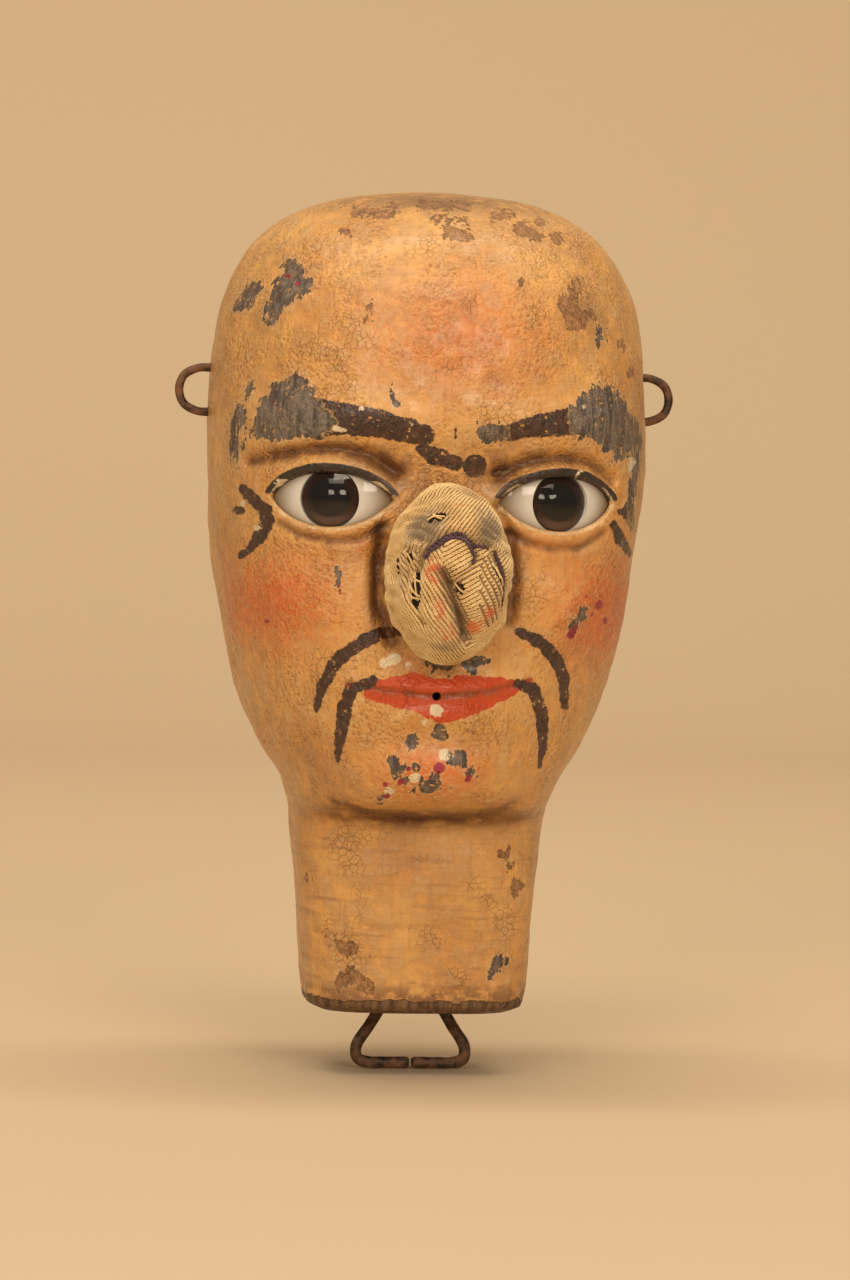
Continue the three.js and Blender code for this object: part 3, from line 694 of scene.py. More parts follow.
# The painting, as brush strokes and flakes: points of x and height with the half width there.
painted = {
    "ink": [
        [(-25.0, 111.3, 3.7), (-19.8, 111.1, 3.0), (-14.5, 110.7, 2.6), (-9.0, 109.6, 2.3),
         (-4.6, 108.5, 1.9)],
        [(10.7, 109.3, 1.6), (14.6, 110.4, 1.9), (20.2, 111.3, 2.4), (24.5, 111.8, 2.6)],
        [(-5.1, 106.0, 0.8), (-2.8, 104.9, 1.5), (1.4, 103.7, 1.3)],
        [(5.0, 103.0, 2.1)],
        [(-36.2, 98.0, 0.8), (-34.4, 96.1, 1.0), (-32.5, 94.2, 1.3), (-31.8, 92.3, 1.2),
         (-33.0, 89.6, 1.1), (-34.3, 87.4, 0.8), (-36.0, 85.4, 0.5)],
        [(-36.8, 93.9, 0.9)],
        [(33.0, 95.3, 0.5), (35.2, 95.4, 1.7), (36.6, 92.4, 0.7)],
        [(31.9, 93.0, 0.7), (33.6, 90.2, 1.1), (36.4, 87.4, 0.7)],
        [(-7.9, 72.8, 1.0), (-11.9, 71.9, 1.2), (-15.9, 69.7, 1.3), (-19.3, 66.3, 1.2),
         (-21.3, 62.0, 1.0), (-22.1, 57.4, 0.5)],
        [(-12.8, 63.4, 0.9), (-16.2, 61.9, 1.2), (-17.3, 57.7, 1.3), (-17.8, 52.5, 1.0),
         (-18.0, 48.3, 0.4)],
        [(14.0, 73.0, 0.9), (18.1, 71.2, 1.2), (21.5, 68.2, 1.3), (23.6, 64.0, 1.2),
         (24.0, 59.1, 0.8)],
        [(14.1, 63.6, 0.9), (17.5, 62.1, 1.2), (19.2, 58.1, 1.3), (19.9, 53.2, 1.1),
         (19.5, 48.1, 0.5)],
        [(1.1, 109.7, 0.25), (1.2, 106.7, 0.25)],
    ],
    "slate": [
        [(-34.2, 108.6, 1.0), (-31.5, 110.6, 3.4), (-28.8, 113.0, 4.6), (-27.6, 116.3, 2.8)],
        [(-30.5, 109.5, 2.5), (-24.5, 110.8, 3.2)],
        [(25.2, 111.9, 3.0), (28.6, 113.5, 5.0), (31.3, 111.3, 4.6), (34.8, 109.8, 3.2),
         (37.2, 108.4, 1.8)],
        [(33.0, 106.0, 1.3), (31.5, 104.9, 0.5)],
        [(6.4, 109.5, 1.5), (9.6, 109.1, 1.6)],
        [(37.2, 108.0, 1.5), (36.6, 101.5, 1.0), (35.6, 97.0, 0.7), (36.9, 91.8, 0.4)],
        [(-36.8, 113.0, 0.6), (-37.6, 106.0, 1.0), (-37.0, 102.0, 0.4)],
        [(-35.2, 117.5, 0.4), (-36.0, 114.5, 0.3)],
        [(-28.3, 139.6, 1.0), (-27.9, 135.9, 2.5), (-30.5, 132.3, 1.7), (-31.8, 128.8, 1.1)],
        [(-28.2, 134.6, 2.1), (-25.6, 135.7, 0.8)],
        [(-34.6, 135.2, 1.2), (-36.4, 132.2, 1.3)],
        [(-10.9, 116.2, 0.5), (-9.6, 113.8, 0.4)],
        [(28.7, 128.6, 0.5), (28.1, 125.9, 0.4)],
        [(-19.4, 83.0, 1.0), (-19.1, 80.6, 0.5)],
        [(26.4, 76.4, 0.7), (25.4, 74.8, 1.0), (24.3, 73.4, 0.6)],
        [(-5.1, 52.4, 1.0)], [(-0.6, 54.3, 1.2), (0.4, 53.7, 0.9)], [(3.1, 50.0, 1.3)],
        [(-7.4, 47.4, 0.5), (-5.0, 47.8, 0.4)], [(-3.0, 44.6, 0.6), (0.2, 45.0, 0.5)],
        [(5.9, 47.0, 0.8)], [(-8.4, 48.8, 0.6), (-7.9, 46.2, 0.8)], [(-6.3, 45.2, 0.6)],
        [(-0.9, 46.6, 0.9), (-0.4, 44.6, 0.8), (-2.6, 43.6, 0.5)], [(2.3, 44.0, 0.5)],
        [(-4.4, 43.7, 0.5)], [(-10.0, 41.5, 0.7)],
        [(14.6, 9.8, 1.2), (13.2, 8.0, 0.6)],
        [(-3.2, 67.7, 0.6), (-0.4, 66.6, 0.8)], [(3.4, 66.9, 0.6), (7.6, 67.6, 0.5)],
        [(1.0, 65.7, 0.6)], [(5.4, 66.2, 0.6)], [(2.4, 68.4, 0.4)], [(-2.0, 65.4, 0.4)],
    ],
    "umber": [
        [(0.6, 146.1, 1.2), (3.2, 145.4, 0.9)], [(14.8, 146.5, 1.8), (17.0, 146.1, 1.2)],
        [(-3.6, 151.4, 1.0), (4.4, 151.2, 0.8)], [(-9.0, 150.4, 0.7)],
        [(-16.0, 149.6, 0.6), (-11.0, 149.2, 0.9)], [(9.5, 149.0, 0.8), (13.0, 149.8, 0.5)],
        [(18.5, 148.6, 1.0)], [(-2.0, 148.4, 0.6), (3.5, 148.0, 0.8)], [(21.0, 145.6, 0.9)],
        [(24.2, 136.8, 1.0), (21.6, 132.8, 1.5), (23.6, 130.3, 1.9), (26.6, 131.5, 1.3)],
        [(13.0, 136.8, 0.6)], [(-18.0, 145.4, 0.6)], [(-14.6, 132.0, 0.5), (-15.4, 129.0, 0.4)],
        [(-15.6, 5.7, 1.1), (-12.8, 7.4, 1.9), (-9.8, 4.7, 1.1)],
        [(15.2, 30.5, 1.2), (15.8, 28.7, 0.9)], [(17.5, 24.2, 1.0), (17.3, 22.8, 0.7)],
        [(-21.9, 24.7, 0.9)], [(-13.4, 12.3, 1.1), (-17.0, 14.1, 0.5)],
        [(20.4, 14.0, 0.8)], [(35.5, 121.0, 0.7)], [(33.5, 126.0, 0.5)],
    ],
    "gesso": [
        [(-20.6, 109.3, 0.5), (-18.8, 108.9, 0.3)], [(-16.2, 113.2, 0.4)], [(-7.0, 110.2, 0.35)],
        [(-22.8, 108.2, 0.4)], [(25.2, 114.4, 0.3)], [(36.0, 104.6, 0.8), (35.2, 102.9, 0.6)],
        [(-8.6, 67.7, 1.0), (-10.6, 66.8, 0.8)], [(-6.4, 66.6, 0.6)],
        [(-1.1, 58.4, 1.2)], [(-4.6, 45.8, 0.9)], [(-8.8, 43.2, 0.9)], [(0.8, 50.4, 1.0)],
        [(-3.0, 56.2, 0.5)], [(-36.2, 95.2, 0.5)], [(-33.6, 90.8, 0.5)],
    ],
    "red": [
        [(-17.0, 62.7, 0.4), (-12.8, 62.4, 1.1), (-8.7, 62.4, 1.9), (-5.4, 62.7, 2.5),
         (-1.2, 61.7, 2.3), (3.0, 62.4, 2.5), (8.0, 62.7, 2.2), (13.0, 62.9, 1.4),
         (16.6, 63.9, 0.5)],
        [(-13.0, 61.2, 1.1), (-8.6, 60.7, 1.8), (-4.5, 60.1, 2.1), (0.0, 58.8, 2.7),
         (4.0, 59.3, 2.3), (9.0, 60.9, 1.8), (13.0, 62.1, 1.1)],
    ],
    "crimson": [
        [(24.2, 72.5, 0.8), (25.2, 73.9, 0.6)], [(30.0, 77.9, 0.8)], [(31.5, 75.0, 0.7)],
        [(28.4, 76.2, 0.4)], [(27.0, 79.5, 0.3)], [(-19.0, 80.8, 0.35), (-18.8, 79.4, 0.2)],
        [(-31.2, 73.6, 0.4)], [(-33.0, 70.2, 0.3)], [(-5.6, 47.6, 0.6)], [(-9.6, 44.4, 0.5)],
        [(-0.2, 47.8, 1.1)], [(5.4, 45.8, 0.6)], [(-7.0, 45.0, 0.7)], [(-9.0, 42.2, 0.5)],
        [(-28.8, 137.2, 0.4)], [(-27.2, 135.6, 0.3)],
    ],
}
blushes = [
    (-31.0, 77.0, 13.0, 10.5, 1.1), (32.0, 76.5, 12.0, 11.5, 1.25), (1.0, 127.0, 21.0, 12.0, 0.75),
    (-2.0, 47.0, 12.0, 6.0, 1.0), (-14.0, 88.0, 6.0, 2.5, 0.4), (16.0, 89.0, 7.0, 2.5, 0.45),
    (0.0, 66.5, 9.0, 2.0, 0.5),
]
# Where dirt and brown varnish have gathered, with painted shade in the creases over the lids, the inner
# corners of the eyes, beside the nose, under the chin and at the sides: x, height, breadth, tallness,
# strength.
dirt_and_shade_places = [
    (-13.0, 103.5, 6.0, 2.2, 0.75), (-9.0, 100.0, 2.5, 3.0, 0.7), (11.0, 101.5, 4.5, 3.4, 0.9),
    (19.0, 105.0, 8.0, 1.5, 0.35), (-22.0, 105.6, 8.0, 1.3, 0.35), (-12.7, 80.0, 1.0, 8.0, 1.1),
    (-12.2, 91.0, 1.0, 2.6, 1.3),
    (0.0, 37.6, 24.0, 2.0, 1.15), (0.0, 4.0, 30.0, 2.5, 0.3), (13.2, 80.0, 1.6, 9.0, 0.5),
    (2.0, 152.5, 30.0, 3.6, 0.75), (-24.0, 140.0, 10.0, 3.0, 0.3),
    (26.0, 132.0, 6.0, 9.0, 0.4), (-30.0, 104.0, 6.0, 5.0, 0.25), (38.0, 100.0, 3.0, 14.0, 0.4),
]


def paint(piece):
    """Stores where each colour lies on the carving: distances in millimetres, negative inside."""
    mesh = piece.data
    points = np.empty(len(mesh.vertices) * 3)
    mesh.vertices.foreach_get("co", points)
    points = points.reshape(-1, 3) / mm
    x, y, z = points.T
    width, front, back, square = section_at_height(z)
    round_side = np.clip((y + 14) / 3, 0, 30)
    layers = {}
    for name, strokes in painted.items():
        layers[name] = np.min([stroke_distance(x, z, s) for s in strokes], axis=0) + round_side
    lid_line = np.full(len(points), 30.0)
    lid_rim = np.full(len(points), 30.0)
    for side in (-1, 1):
        near = (side * x > 0) & (y < -saw_plane) & (np.abs(z - eye_height) < 14)
        local = in_eye(points[near], side)
        edge = outline_distance(local[:, 0], local[:, 2], lid_rows)
        above = local[:, 2] - 0.10 * np.abs(local[:, 0]) + 0.6
        line = np.abs(edge - 0.75) - 0.95
        lid_line[near] = np.maximum(line, -above)
        lid_rim[near] = np.where(local[:, 2] > 3.5, 30.0, np.abs(edge - 0.5) - 0.25)
    layers["lash"] = lid_line
    layers["rim"] = lid_rim
    blush = sum(s * np.exp(-(((x - bx) / w) ** 2) - ((z - bz) / t) ** 2) for bx, bz, w, t, s in blushes)
    dirt_and_shade = sum(s * np.exp(-(((x - bx) / w) ** 2) - ((z - bz) / t) ** 2) for bx, bz, w, t, s in dirt_and_shade_places)
    # Painted shade along every gouged line, on top of the places above.
    for _, line in gouge_cuts:
        near = stroke_distance(x, z, [(px, pz, 0) for px, pz, _ in line])
        dirt_and_shade = dirt_and_shade + 0.75 * np.exp(-((near / 0.9) ** 2))
    layers["blush"] = blush * np.clip(-y / 12, 0, 1)
    layers["dirt_and_shade"] = dirt_and_shade * np.clip(0.1 - y / 12, 0.1, 1)
    reach = np.hypot(x, y)
    sine, cosine = np.abs(x) / np.maximum(reach, 1e-6), np.abs(y) / np.maximum(reach, 1e-6)
    depth = np.where(y < 0, front, back)
    outside = ((sine / width) ** square + (cosine / depth) ** square) ** (-1 / square)
    layers["bare"] = np.minimum(z - 2.6, 3.6 - (outside - reach))
    for name, values in layers.items():
        store(mesh, name, values)


def store(mesh, name, values):
    attribute = mesh.attributes.new(name, "FLOAT", "POINT")
    attribute.data.foreach_set("value", np.asarray(values, np.float32))


def wood_grain(tree, where, size=0.0012, stretch=(1, 1, 0.07)):
    return speckle(tree, where, size, detail=5.0, roughness=0.6, stretch=stretch, distortion=0.4)


bare_wood_dark = (0.075, 0.035, 0.016)
bare_wood_light = (0.20, 0.105, 0.045)


def bare_wood_colour(tree, where):
    grain = wood_grain(tree, where)
    return colour_mix(tree, rise(tree, grain, 0.35, 0.65), bare_wood_dark, bare_wood_light)


def attribute(tree, name):
    return add_node(tree, "ShaderNodeAttribute", attribute_name=name).outputs["Fac"]


def within(tree, distance, wander):
    """1 inside a painted shape and 0 outside, with its edge wandering by noise."""
    soft = 0.12
    moved = number(tree, "ADD", distance, wander)
    return rise(tree, moved, -soft, soft, 1.0, 0.0)


def centred(tree, noise_value, reach):
    return number(tree, "MULTIPLY", number(tree, "SUBTRACT", noise_value, 0.5), reach)


def paint_grain(tree, where):
    """The noises that the layers of paint are brushed, worn and chipped by."""
    grain = SimpleNamespace()
    grain.broad = speckle(tree, where, 0.014, detail=3.0)
    grain.blotch = speckle(tree, where, 0.0035, detail=5.0, roughness=0.6)
    grain.flakes = speckle(tree, where, 0.0011, detail=4.0, roughness=0.65)
    grain.fine = speckle(tree, where, 0.0004, detail=3.0, roughness=0.6)
    grain.streaks = speckle(tree, where, 0.0011, detail=4.0, stretch=(1, 1, 0.08), distortion=0.3)
    grain.brushing = speckle(tree, where, 0.0016, detail=4.0, stretch=(0.10, 0.10, 1), distortion=0.2)
    grain.peel = speckle(tree, where, 0.00075, detail=1.5)
    wander = number(tree, "ADD", centred(tree, grain.blotch, 4.2), centred(tree, grain.flakes, 3.0))
    grain.wander = number(tree, "ADD", wander, centred(tree, grain.streaks, 3.2))
    grain.crisp = number(tree, "ADD", centred(tree, grain.blotch, 1.3), centred(tree, grain.flakes, 1.3))
    height_up = add_node(tree, "ShaderNodeSeparateXYZ", {0: where}).outputs[2]
    grain.carved_part = rise(tree, height_up, neck_length * mm, (neck_length + 8) * mm)
    rough_place = rise(tree, speckle(tree, where, 0.011, detail=2.0), 0.35, 0.65, 0.15, 1.0)
    by_part = rise(tree, grain.carved_part, 0.0, 1.0, 0.25, 1.0)
    grain.peeling = number(tree, "MULTIPLY", rough_place, by_part)
    return grain


def crackle_lines(tree, where):
    """Fine drying cracks between small cells of paint, in patches."""
    cells = add_node(tree, "ShaderNodeTexVoronoi", {
        "Vector": where, "Scale": 760.0, "Randomness": 1.0}, feature="DISTANCE_TO_EDGE")
    cracked = rise(tree, speckle(tree, where, 0.009, detail=3.0), 0.52, 0.66)
    return number(tree, "MULTIPLY", rise(tree, cells.outputs["Distance"], 0.0, 0.06, 1.0, 0.0), cracked)


def layered(tree, colour, layers):
    """Lays one tone after another over the colour, each as far as its share says."""
    for share, tone in layers:
        colour = colour_mix(tree, share, colour, tone)
    return colour


def ochre_ground(tree, where, grain):
    """The flesh coat: ochre oil paint, brushed and smudged, with pits where it has lifted."""
    ochre = colour_mix(tree, rise(tree, grain.broad, 0.3, 0.7), (0.72, 0.40, 0.125), (0.62, 0.30, 0.085))
    smudge = rise(tree, speckle(tree, where, 0.017, detail=5.0, roughness=0.6), 0.50, 0.74, 0.0, 0.5)
    pits = number(tree, "MULTIPLY", grain.peeling, rise(tree, grain.peel, 0.50, 0.30, 0.0, 0.75))
    swept = number(tree, "MULTIPLY", rise(tree, grain.brushing, 0.50, 0.70, 0.0, 0.6),
                   rise(tree, grain.carved_part, 0.0, 1.0, 1.0, 0.15))
    return layered(tree, ochre, [
        (rise(tree, grain.blotch, 0.42, 0.72), (0.76, 0.47, 0.20)),
        (rise(tree, grain.streaks, 0.50, 0.75, 0.0, 0.45), (0.50, 0.225, 0.065)),
        (rise(tree, grain.brushing, 0.55, 0.8, 0.0, 0.35), (0.78, 0.50, 0.22)),
        (smudge, (0.43, 0.205, 0.070)),
        (pits, (0.40, 0.16, 0.042)),
        (swept, (0.42, 0.20, 0.065))])


def face_colours(tree, where, grain):
    """The ochre with its blushes, specks and red lips, and its dirt, darkened further by painted shade in
    the creases, hollows and under the chin.
    """
    mottle = rise(tree, grain.flakes, 0.35, 0.7, 0.55, 1.0)
    blush = number(tree, "MULTIPLY", attribute(tree, "blush"), mottle)
    spots = rise(tree, speckle(tree, where, 0.0021, detail=6.0, roughness=0.75), 0.63, 0.70)
    lip_tone = colour_mix(tree, grain.flakes, (0.52, 0.045, 0.007), (0.60, 0.085, 0.014))
    dirt_and_shade_patchiness = rise(tree, grain.blotch, 0.25, 0.6, 0.45, 1.0)
    dirt_and_shade = number(tree, "MULTIPLY", attribute(tree, "dirt_and_shade"), dirt_and_shade_patchiness)
    return layered(tree, ochre_ground(tree, where, grain), [
        (rise(tree, blush, 0.0, 1.1, 0.0, 0.92), (0.66, 0.135, 0.032)),
        (rise(tree, grain.fine, 0.60, 0.75, 0.0, 0.30), (0.85, 0.62, 0.36)),
        (number(tree, "MULTIPLY", spots, 0.75), (0.25, 0.115, 0.045)),
        (within(tree, attribute(tree, "red"), grain.crisp), lip_tone),
        # Painted shade with the dirt: brown, and near black where it is strongest, in the deepest creases
        # and under the chin.
        (rise(tree, dirt_and_shade, 0.0, 1.0, 0.0, 0.85), (0.15, 0.065, 0.025)),
        (rise(tree, dirt_and_shade, 0.9, 1.7, 0.0, 0.9), (0.022, 0.012, 0.008))])


def ink_left(tree, where, grain):
    """Where the dark drawn lines are still whole."""
    worn = rise(tree, speckle(tree, where, 0.0016, detail=5.0, roughness=0.7), 0.60, 0.64)
    ink = within(tree, attribute(tree, "ink"), grain.crisp)
    return number(tree, "MULTIPLY", ink, number(tree, "SUBTRACT", 1.0, worn))


def drawn_lines(tree, where, grain, ink, colour):
    """Brows, whiskers and wrinkles in brown ink, black lashes, and the pale rim below each eye."""
    ink_tone = colour_mix(
        tree, rise(tree, grain.flakes, 0.3, 0.7), (0.026, 0.013, 0.009), (0.080, 0.036, 0.024))
    chips = rise(tree, speckle(tree, where, 0.0028, detail=3.0), 0.64, 0.68)
    lash = within(tree, attribute(tree, "lash"), centred(tree, grain.blotch, 0.5))
    lash_tone = colour_mix(tree, chips, (0.020, 0.017, 0.015), (0.72, 0.58, 0.38))
    rim = within(tree, attribute(tree, "rim"), centred(tree, grain.blotch, 1.6))
    return layered(tree, colour, [
        (ink, ink_tone),
        (lash, lash_tone),
        (number(tree, "MULTIPLY", rim, 0.8), (0.72, 0.56, 0.34))])


def paint_lost(tree, where, grain):
    """Where the paint is gone: down to the slate coat, to the umber coat and to bare wood."""
    chipped = rise(tree, speckle(tree, where, 0.0013, detail=6.0, roughness=0.75), 0.56, 0.60, 1.0, 0.0)
    slate = number(tree, "MULTIPLY", within(tree, attribute(tree, "slate"), grain.wander), chipped)
    umber = within(tree, attribute(tree, "umber"), grain.wander)
    umber = number(tree, "MULTIPLY", umber, number(tree, "MULTIPLY", chipped, 0.85))
    bare = within(tree, attribute(tree, "bare"), centred(tree, grain.blotch, 3.2))
    return slate, umber, bare


def damage_colours(tree, where, grain, lost_coats, crackle, colour):
    """Chips and flakes, gesso and crimson spots, cracks, and the stained foot of the neck."""
    slate, umber, bare = lost_coats
    slate_edge = within(tree, number(tree, "SUBTRACT", attribute(tree, "slate"), 0.6), grain.wander)
    light_slate = rise(tree, grain.streaks, 0.35, 0.65)
    slate_tone = colour_mix(tree, light_slate, (0.060, 0.050, 0.046), (0.20, 0.162, 0.135))
    pale_flakes = rise(tree, grain.flakes, 0.50, 0.72, 0.0, 0.8)
    slate_tone = colour_mix(tree, pale_flakes, slate_tone, (0.33, 0.27, 0.20))
    umber_tone = colour_mix(
        tree, rise(tree, grain.flakes, 0.3, 0.7), (0.15, 0.060, 0.025), (0.46, 0.24, 0.11))
    stained = rise(tree, attribute(tree, "bare"), 0.4, 5.5, 0.75, 0.0)
    stained = number(tree, "MULTIPLY", stained, rise(tree, grain.blotch, 0.40, 0.56))
    return layered(tree, colour, [
        (number(tree, "MULTIPLY", slate_edge, 0.45), (0.66, 0.44, 0.22)),
        (umber, umber_tone),
        (slate, slate_tone),
        (within(tree, attribute(tree, "gesso"), grain.crisp), (0.74, 0.62, 0.42)),
        (within(tree, attribute(tree, "crimson"), grain.crisp), (0.33, 0.030, 0.050)),
        (number(tree, "MULTIPLY", crackle, 0.22), (0.22, 0.09, 0.03)),
        (stained, (0.16, 0.062, 0.022)),
        (bare, bare_wood_colour(tree, where))])


def painted_wood_material():
    material, tree = new_material("oil_paint_on_gesso")
    where = object_coordinates(tree)
    grain = paint_grain(tree, where)
    crackle = crackle_lines(tree, where)
    ink = ink_left(tree, where, grain)
    slate, umber, bare = paint_lost(tree, where, grain)
    colour = face_colours(tree, where, grain)
    colour = drawn_lines(tree, where, grain, ink, colour)
    colour = damage_colours(tree, where, grain, (slate, umber, bare), crackle, colour)

    lost = number(tree, "MAXIMUM", number(tree, "MAXIMUM", slate, umber), bare)
    glaze = rise(tree, speckle(tree, where, 0.0016, detail=3.0), 0.40, 0.62, 0.06, 0.30)
    roughness = rise(tree, grain.flakes, 0.3, 0.7, 0.32, 0.55)
    roughness = number(tree, "ADD", roughness, number(tree, "MULTIPLY", lost, 0.30))
    height = number(tree, "MULTIPLY", number(tree, "MULTIPLY", grain.peel, 0.8), grain.peeling)
    for layer, raised in ((grain.blotch, 0.6), (grain.brushing, 0.15), (grain.streaks, 0.22),
                          (grain.fine, 0.10), (crackle, -0.16), (lost, -0.55), (ink, 0.12)):
        height = number(tree, "ADD", height, number(tree, "MULTIPLY", layer, raised))
    shader = add_node(tree, "ShaderNodeBsdfPrincipled", {
        "Base Color": colour, "Roughness": roughness, "Normal": bumped(tree, height, 0.0008),
        "Coat Weight": glaze, "Coat Roughness": 0.20, "Specular IOR Level": 0.5})
    finish_material(tree, shader.outputs[0])
    return material


oil_paint = painted_wood_material()
for piece, node in ((form, "face_mask"), (skull, "head_block")):
    paint(piece)
    piece.data.materials.clear()
    piece.data.materials.append(oil_paint)
    piece.data.set_sharp_from_angle(angle=math.radians(50))
    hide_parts(node)
    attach(piece, "head")

# ---- pegs and wax ----
# Four turned dowels hold the face to the skull, a fifth peg carries the nose, and a pad of brown
# wax beds each eye from behind. They are hidden once the head is together.


def dowel_material():
    material, tree = new_material("dowel_wood")
    where = object_coordinates(tree)
    grain = wood_grain(tree, where, size=0.0009, stretch=(1, 0.08, 1))
    colour = colour_mix(tree, rise(tree, grain, 0.3, 0.7), (0.50, 0.32, 0.16), (0.34, 0.19, 0.085))
    shader = add_node(tree, "ShaderNodeBsdfPrincipled", {
        "Base Color": colour, "Roughness": 0.65, "Normal": bumped(tree, grain, 0.0002)})
    finish_material(tree, shader.outputs[0])
    return material


def wax_material():
    material, tree = new_material("brown_wax")
    where = object_coordinates(tree)
    cloud = speckle(tree, where, 0.003, detail=4.0)
    colour = colour_mix(tree, cloud, (0.16, 0.085, 0.035), (0.30, 0.17, 0.075))
    shader = add_node(tree, "ShaderNodeBsdfPrincipled", {
        "Base Color": colour, "Roughness": 0.42, "Normal": bumped(tree, cloud, 0.0005)})
    finish_material(tree, shader.outputs[0])
    return material


def refinish(node, material):
    """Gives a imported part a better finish, and leaves its mesh alone."""
    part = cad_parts[node]
    part.data.materials.clear()
    part.data.materials.append(material)


dowel_wood = dowel_material()
for level in ("upper", "lower"):
    for side_name in ("left", "right"):
        refinish("mask_dowel_" + level + "_" + side_name, dowel_wood)
refinish("nose_peg", dowel_wood)
wax = wax_material()
for side_name in ("left", "right"):
    refinish("eye_bedding_" + side_name, wax)

# ---- glass eyes ----
# Each eye is a turned shell of white glass with a brown glass iris, a black pupil and a clear
# domed lens, fused together at the lamp. The shells sit behind the carved lids.

iris_radius = 5.5
iris_thick = 1.1
iris_inset = 1.6
pupil_radius = 3.2
lens_rise = 0.9
fused_gap = 0.02
button_bulge = 1.0
eye_face = -eye_thick / 2


def pole_faces(last, around):
    """Fans that close the first and the last ring onto the two points that follow the rings."""
    faces = []
    for k in range(around):
        n = (k + 1) % around
        faces.append((last, n, k))
        faces.append((last + 1, last - around + k, last - around + n))
    return faces


def turned(name, profile, side):
    """A piece turned about the eye's axis. Profile points are distance from the axis and depth."""
    around = 72
    rings = []
    for radius, depth in profile:
        turns = np.linspace(0, 2 * math.pi, around, endpoint=False)
        rings.append(np.stack([
            radius * np.cos(turns), np.full(around, depth), radius * np.sin(turns)], 1))
    ends = [[0, profile[0][1], 0], [0, profile[-1][1], 0]]
    points = np.concatenate([*rings, ends])
    faces = grid_faces(len(rings), around, closed=True) + pole_faces(len(rings) * around, around)
    piece = add_mesh(name, from_eye(points, side) * mm, faces)
    flip_inside_out(piece)
    store(piece.data, "reach", np.hypot(points[:, 0], points[:, 2]) / iris_radius)
    store(piece.data, "low", -points[:, 2] / iris_radius)
    store(piece.data, "turn", np.arctan2(points[:, 2], points[:, 0]))
    return piece


def rounded_disc(radius, front, back, edge=0.15):
    """Profile of a disc with eased edges, from the middle of its front to the middle of its back."""
    steps = 8
    profile = [(radius * k / steps, front) for k in range(1, steps)]
    profile += [(radius - edge, front), (radius - 0.3 * edge, front + 0.3 * edge), (radius, front + edge)]
    profile += [(radius, back - edge), (radius - edge, back)]
    profile += [(radius * k / steps, back) for k in range(steps - 1, 0, -1)]
    return profile


def bulged(profile):
    """Moves a profile forward in the middle, as a glass button is domed."""
    return [(r, y - button_bulge * (1 - (r / iris_radius) ** 2)) for r, y in profile]


def lens_profile():
    back = eye_face + iris_inset - fused_gap
    rise_total = iris_inset - fused_gap + lens_rise
    dome = (iris_radius**2 + rise_total**2) / (2 * rise_total)
    steps = 16
    profile = []
    for k in range(1, steps + 1):
        radius = iris_radius * k / steps
        profile.append((radius, back - (math.sqrt(dome**2 - radius**2) - (dome - rise_total))))
    hollow = [(iris_radius * k / steps, back) for k in range(steps - 1, 0, -1)]
    return profile + bulged(hollow)


def eye_white_shell(name, side):
    points, faces = ball(eye_width / 2, eye_thick / 2, eye_tall / 2)
    shell = add_mesh(name, from_eye(points, side) * mm, faces)
    flip_inside_out(shell)
    seat = round_bar((0, eye_face - 2, 0), (0, eye_face + iris_inset + iris_thick + fused_gap, 0),
                     iris_radius + fused_gap, 96)
    cut_away(shell, [cutter(from_eye(seat[0], side), seat[1])])
    shell.data.name = name
    local = in_eye(np.array([v.co[:] for v in shell.data.vertices]) / mm, side)
    store(shell.data, "reach", np.hypot(local[:, 0], 1.6 * local[:, 2]) / (lid_width / 2))
    shell.data.set_sharp_from_angle(angle=math.radians(45))
    return shell


def white_glass_material():
    material, tree = new_material("white_glass")
    where = object_coordinates(tree)
    cloud = speckle(tree, where, 0.004, detail=2.0)
    # Towards the lid edges the white darkens to brown: the glass's own yellowed corners, with painted
    # shade where the lids overhang it.
    edge = rise(tree, attribute(tree, "reach"), 0.52, 0.98)
    colour = colour_mix(tree, cloud, (0.68, 0.66, 0.62), (0.60, 0.56, 0.50))
    colour = colour_mix(tree, edge, colour, (0.22, 0.15, 0.085))
    height = speckle(tree, where, 0.002, detail=1.0)
    shader = add_node(tree, "ShaderNodeBsdfPrincipled", {
        "Base Color": colour, "Roughness": 0.09, "Specular IOR Level": 0.3,
        "Normal": bumped(tree, height, 0.00003)})
    finish_material(tree, shader.outputs[0])
    return material


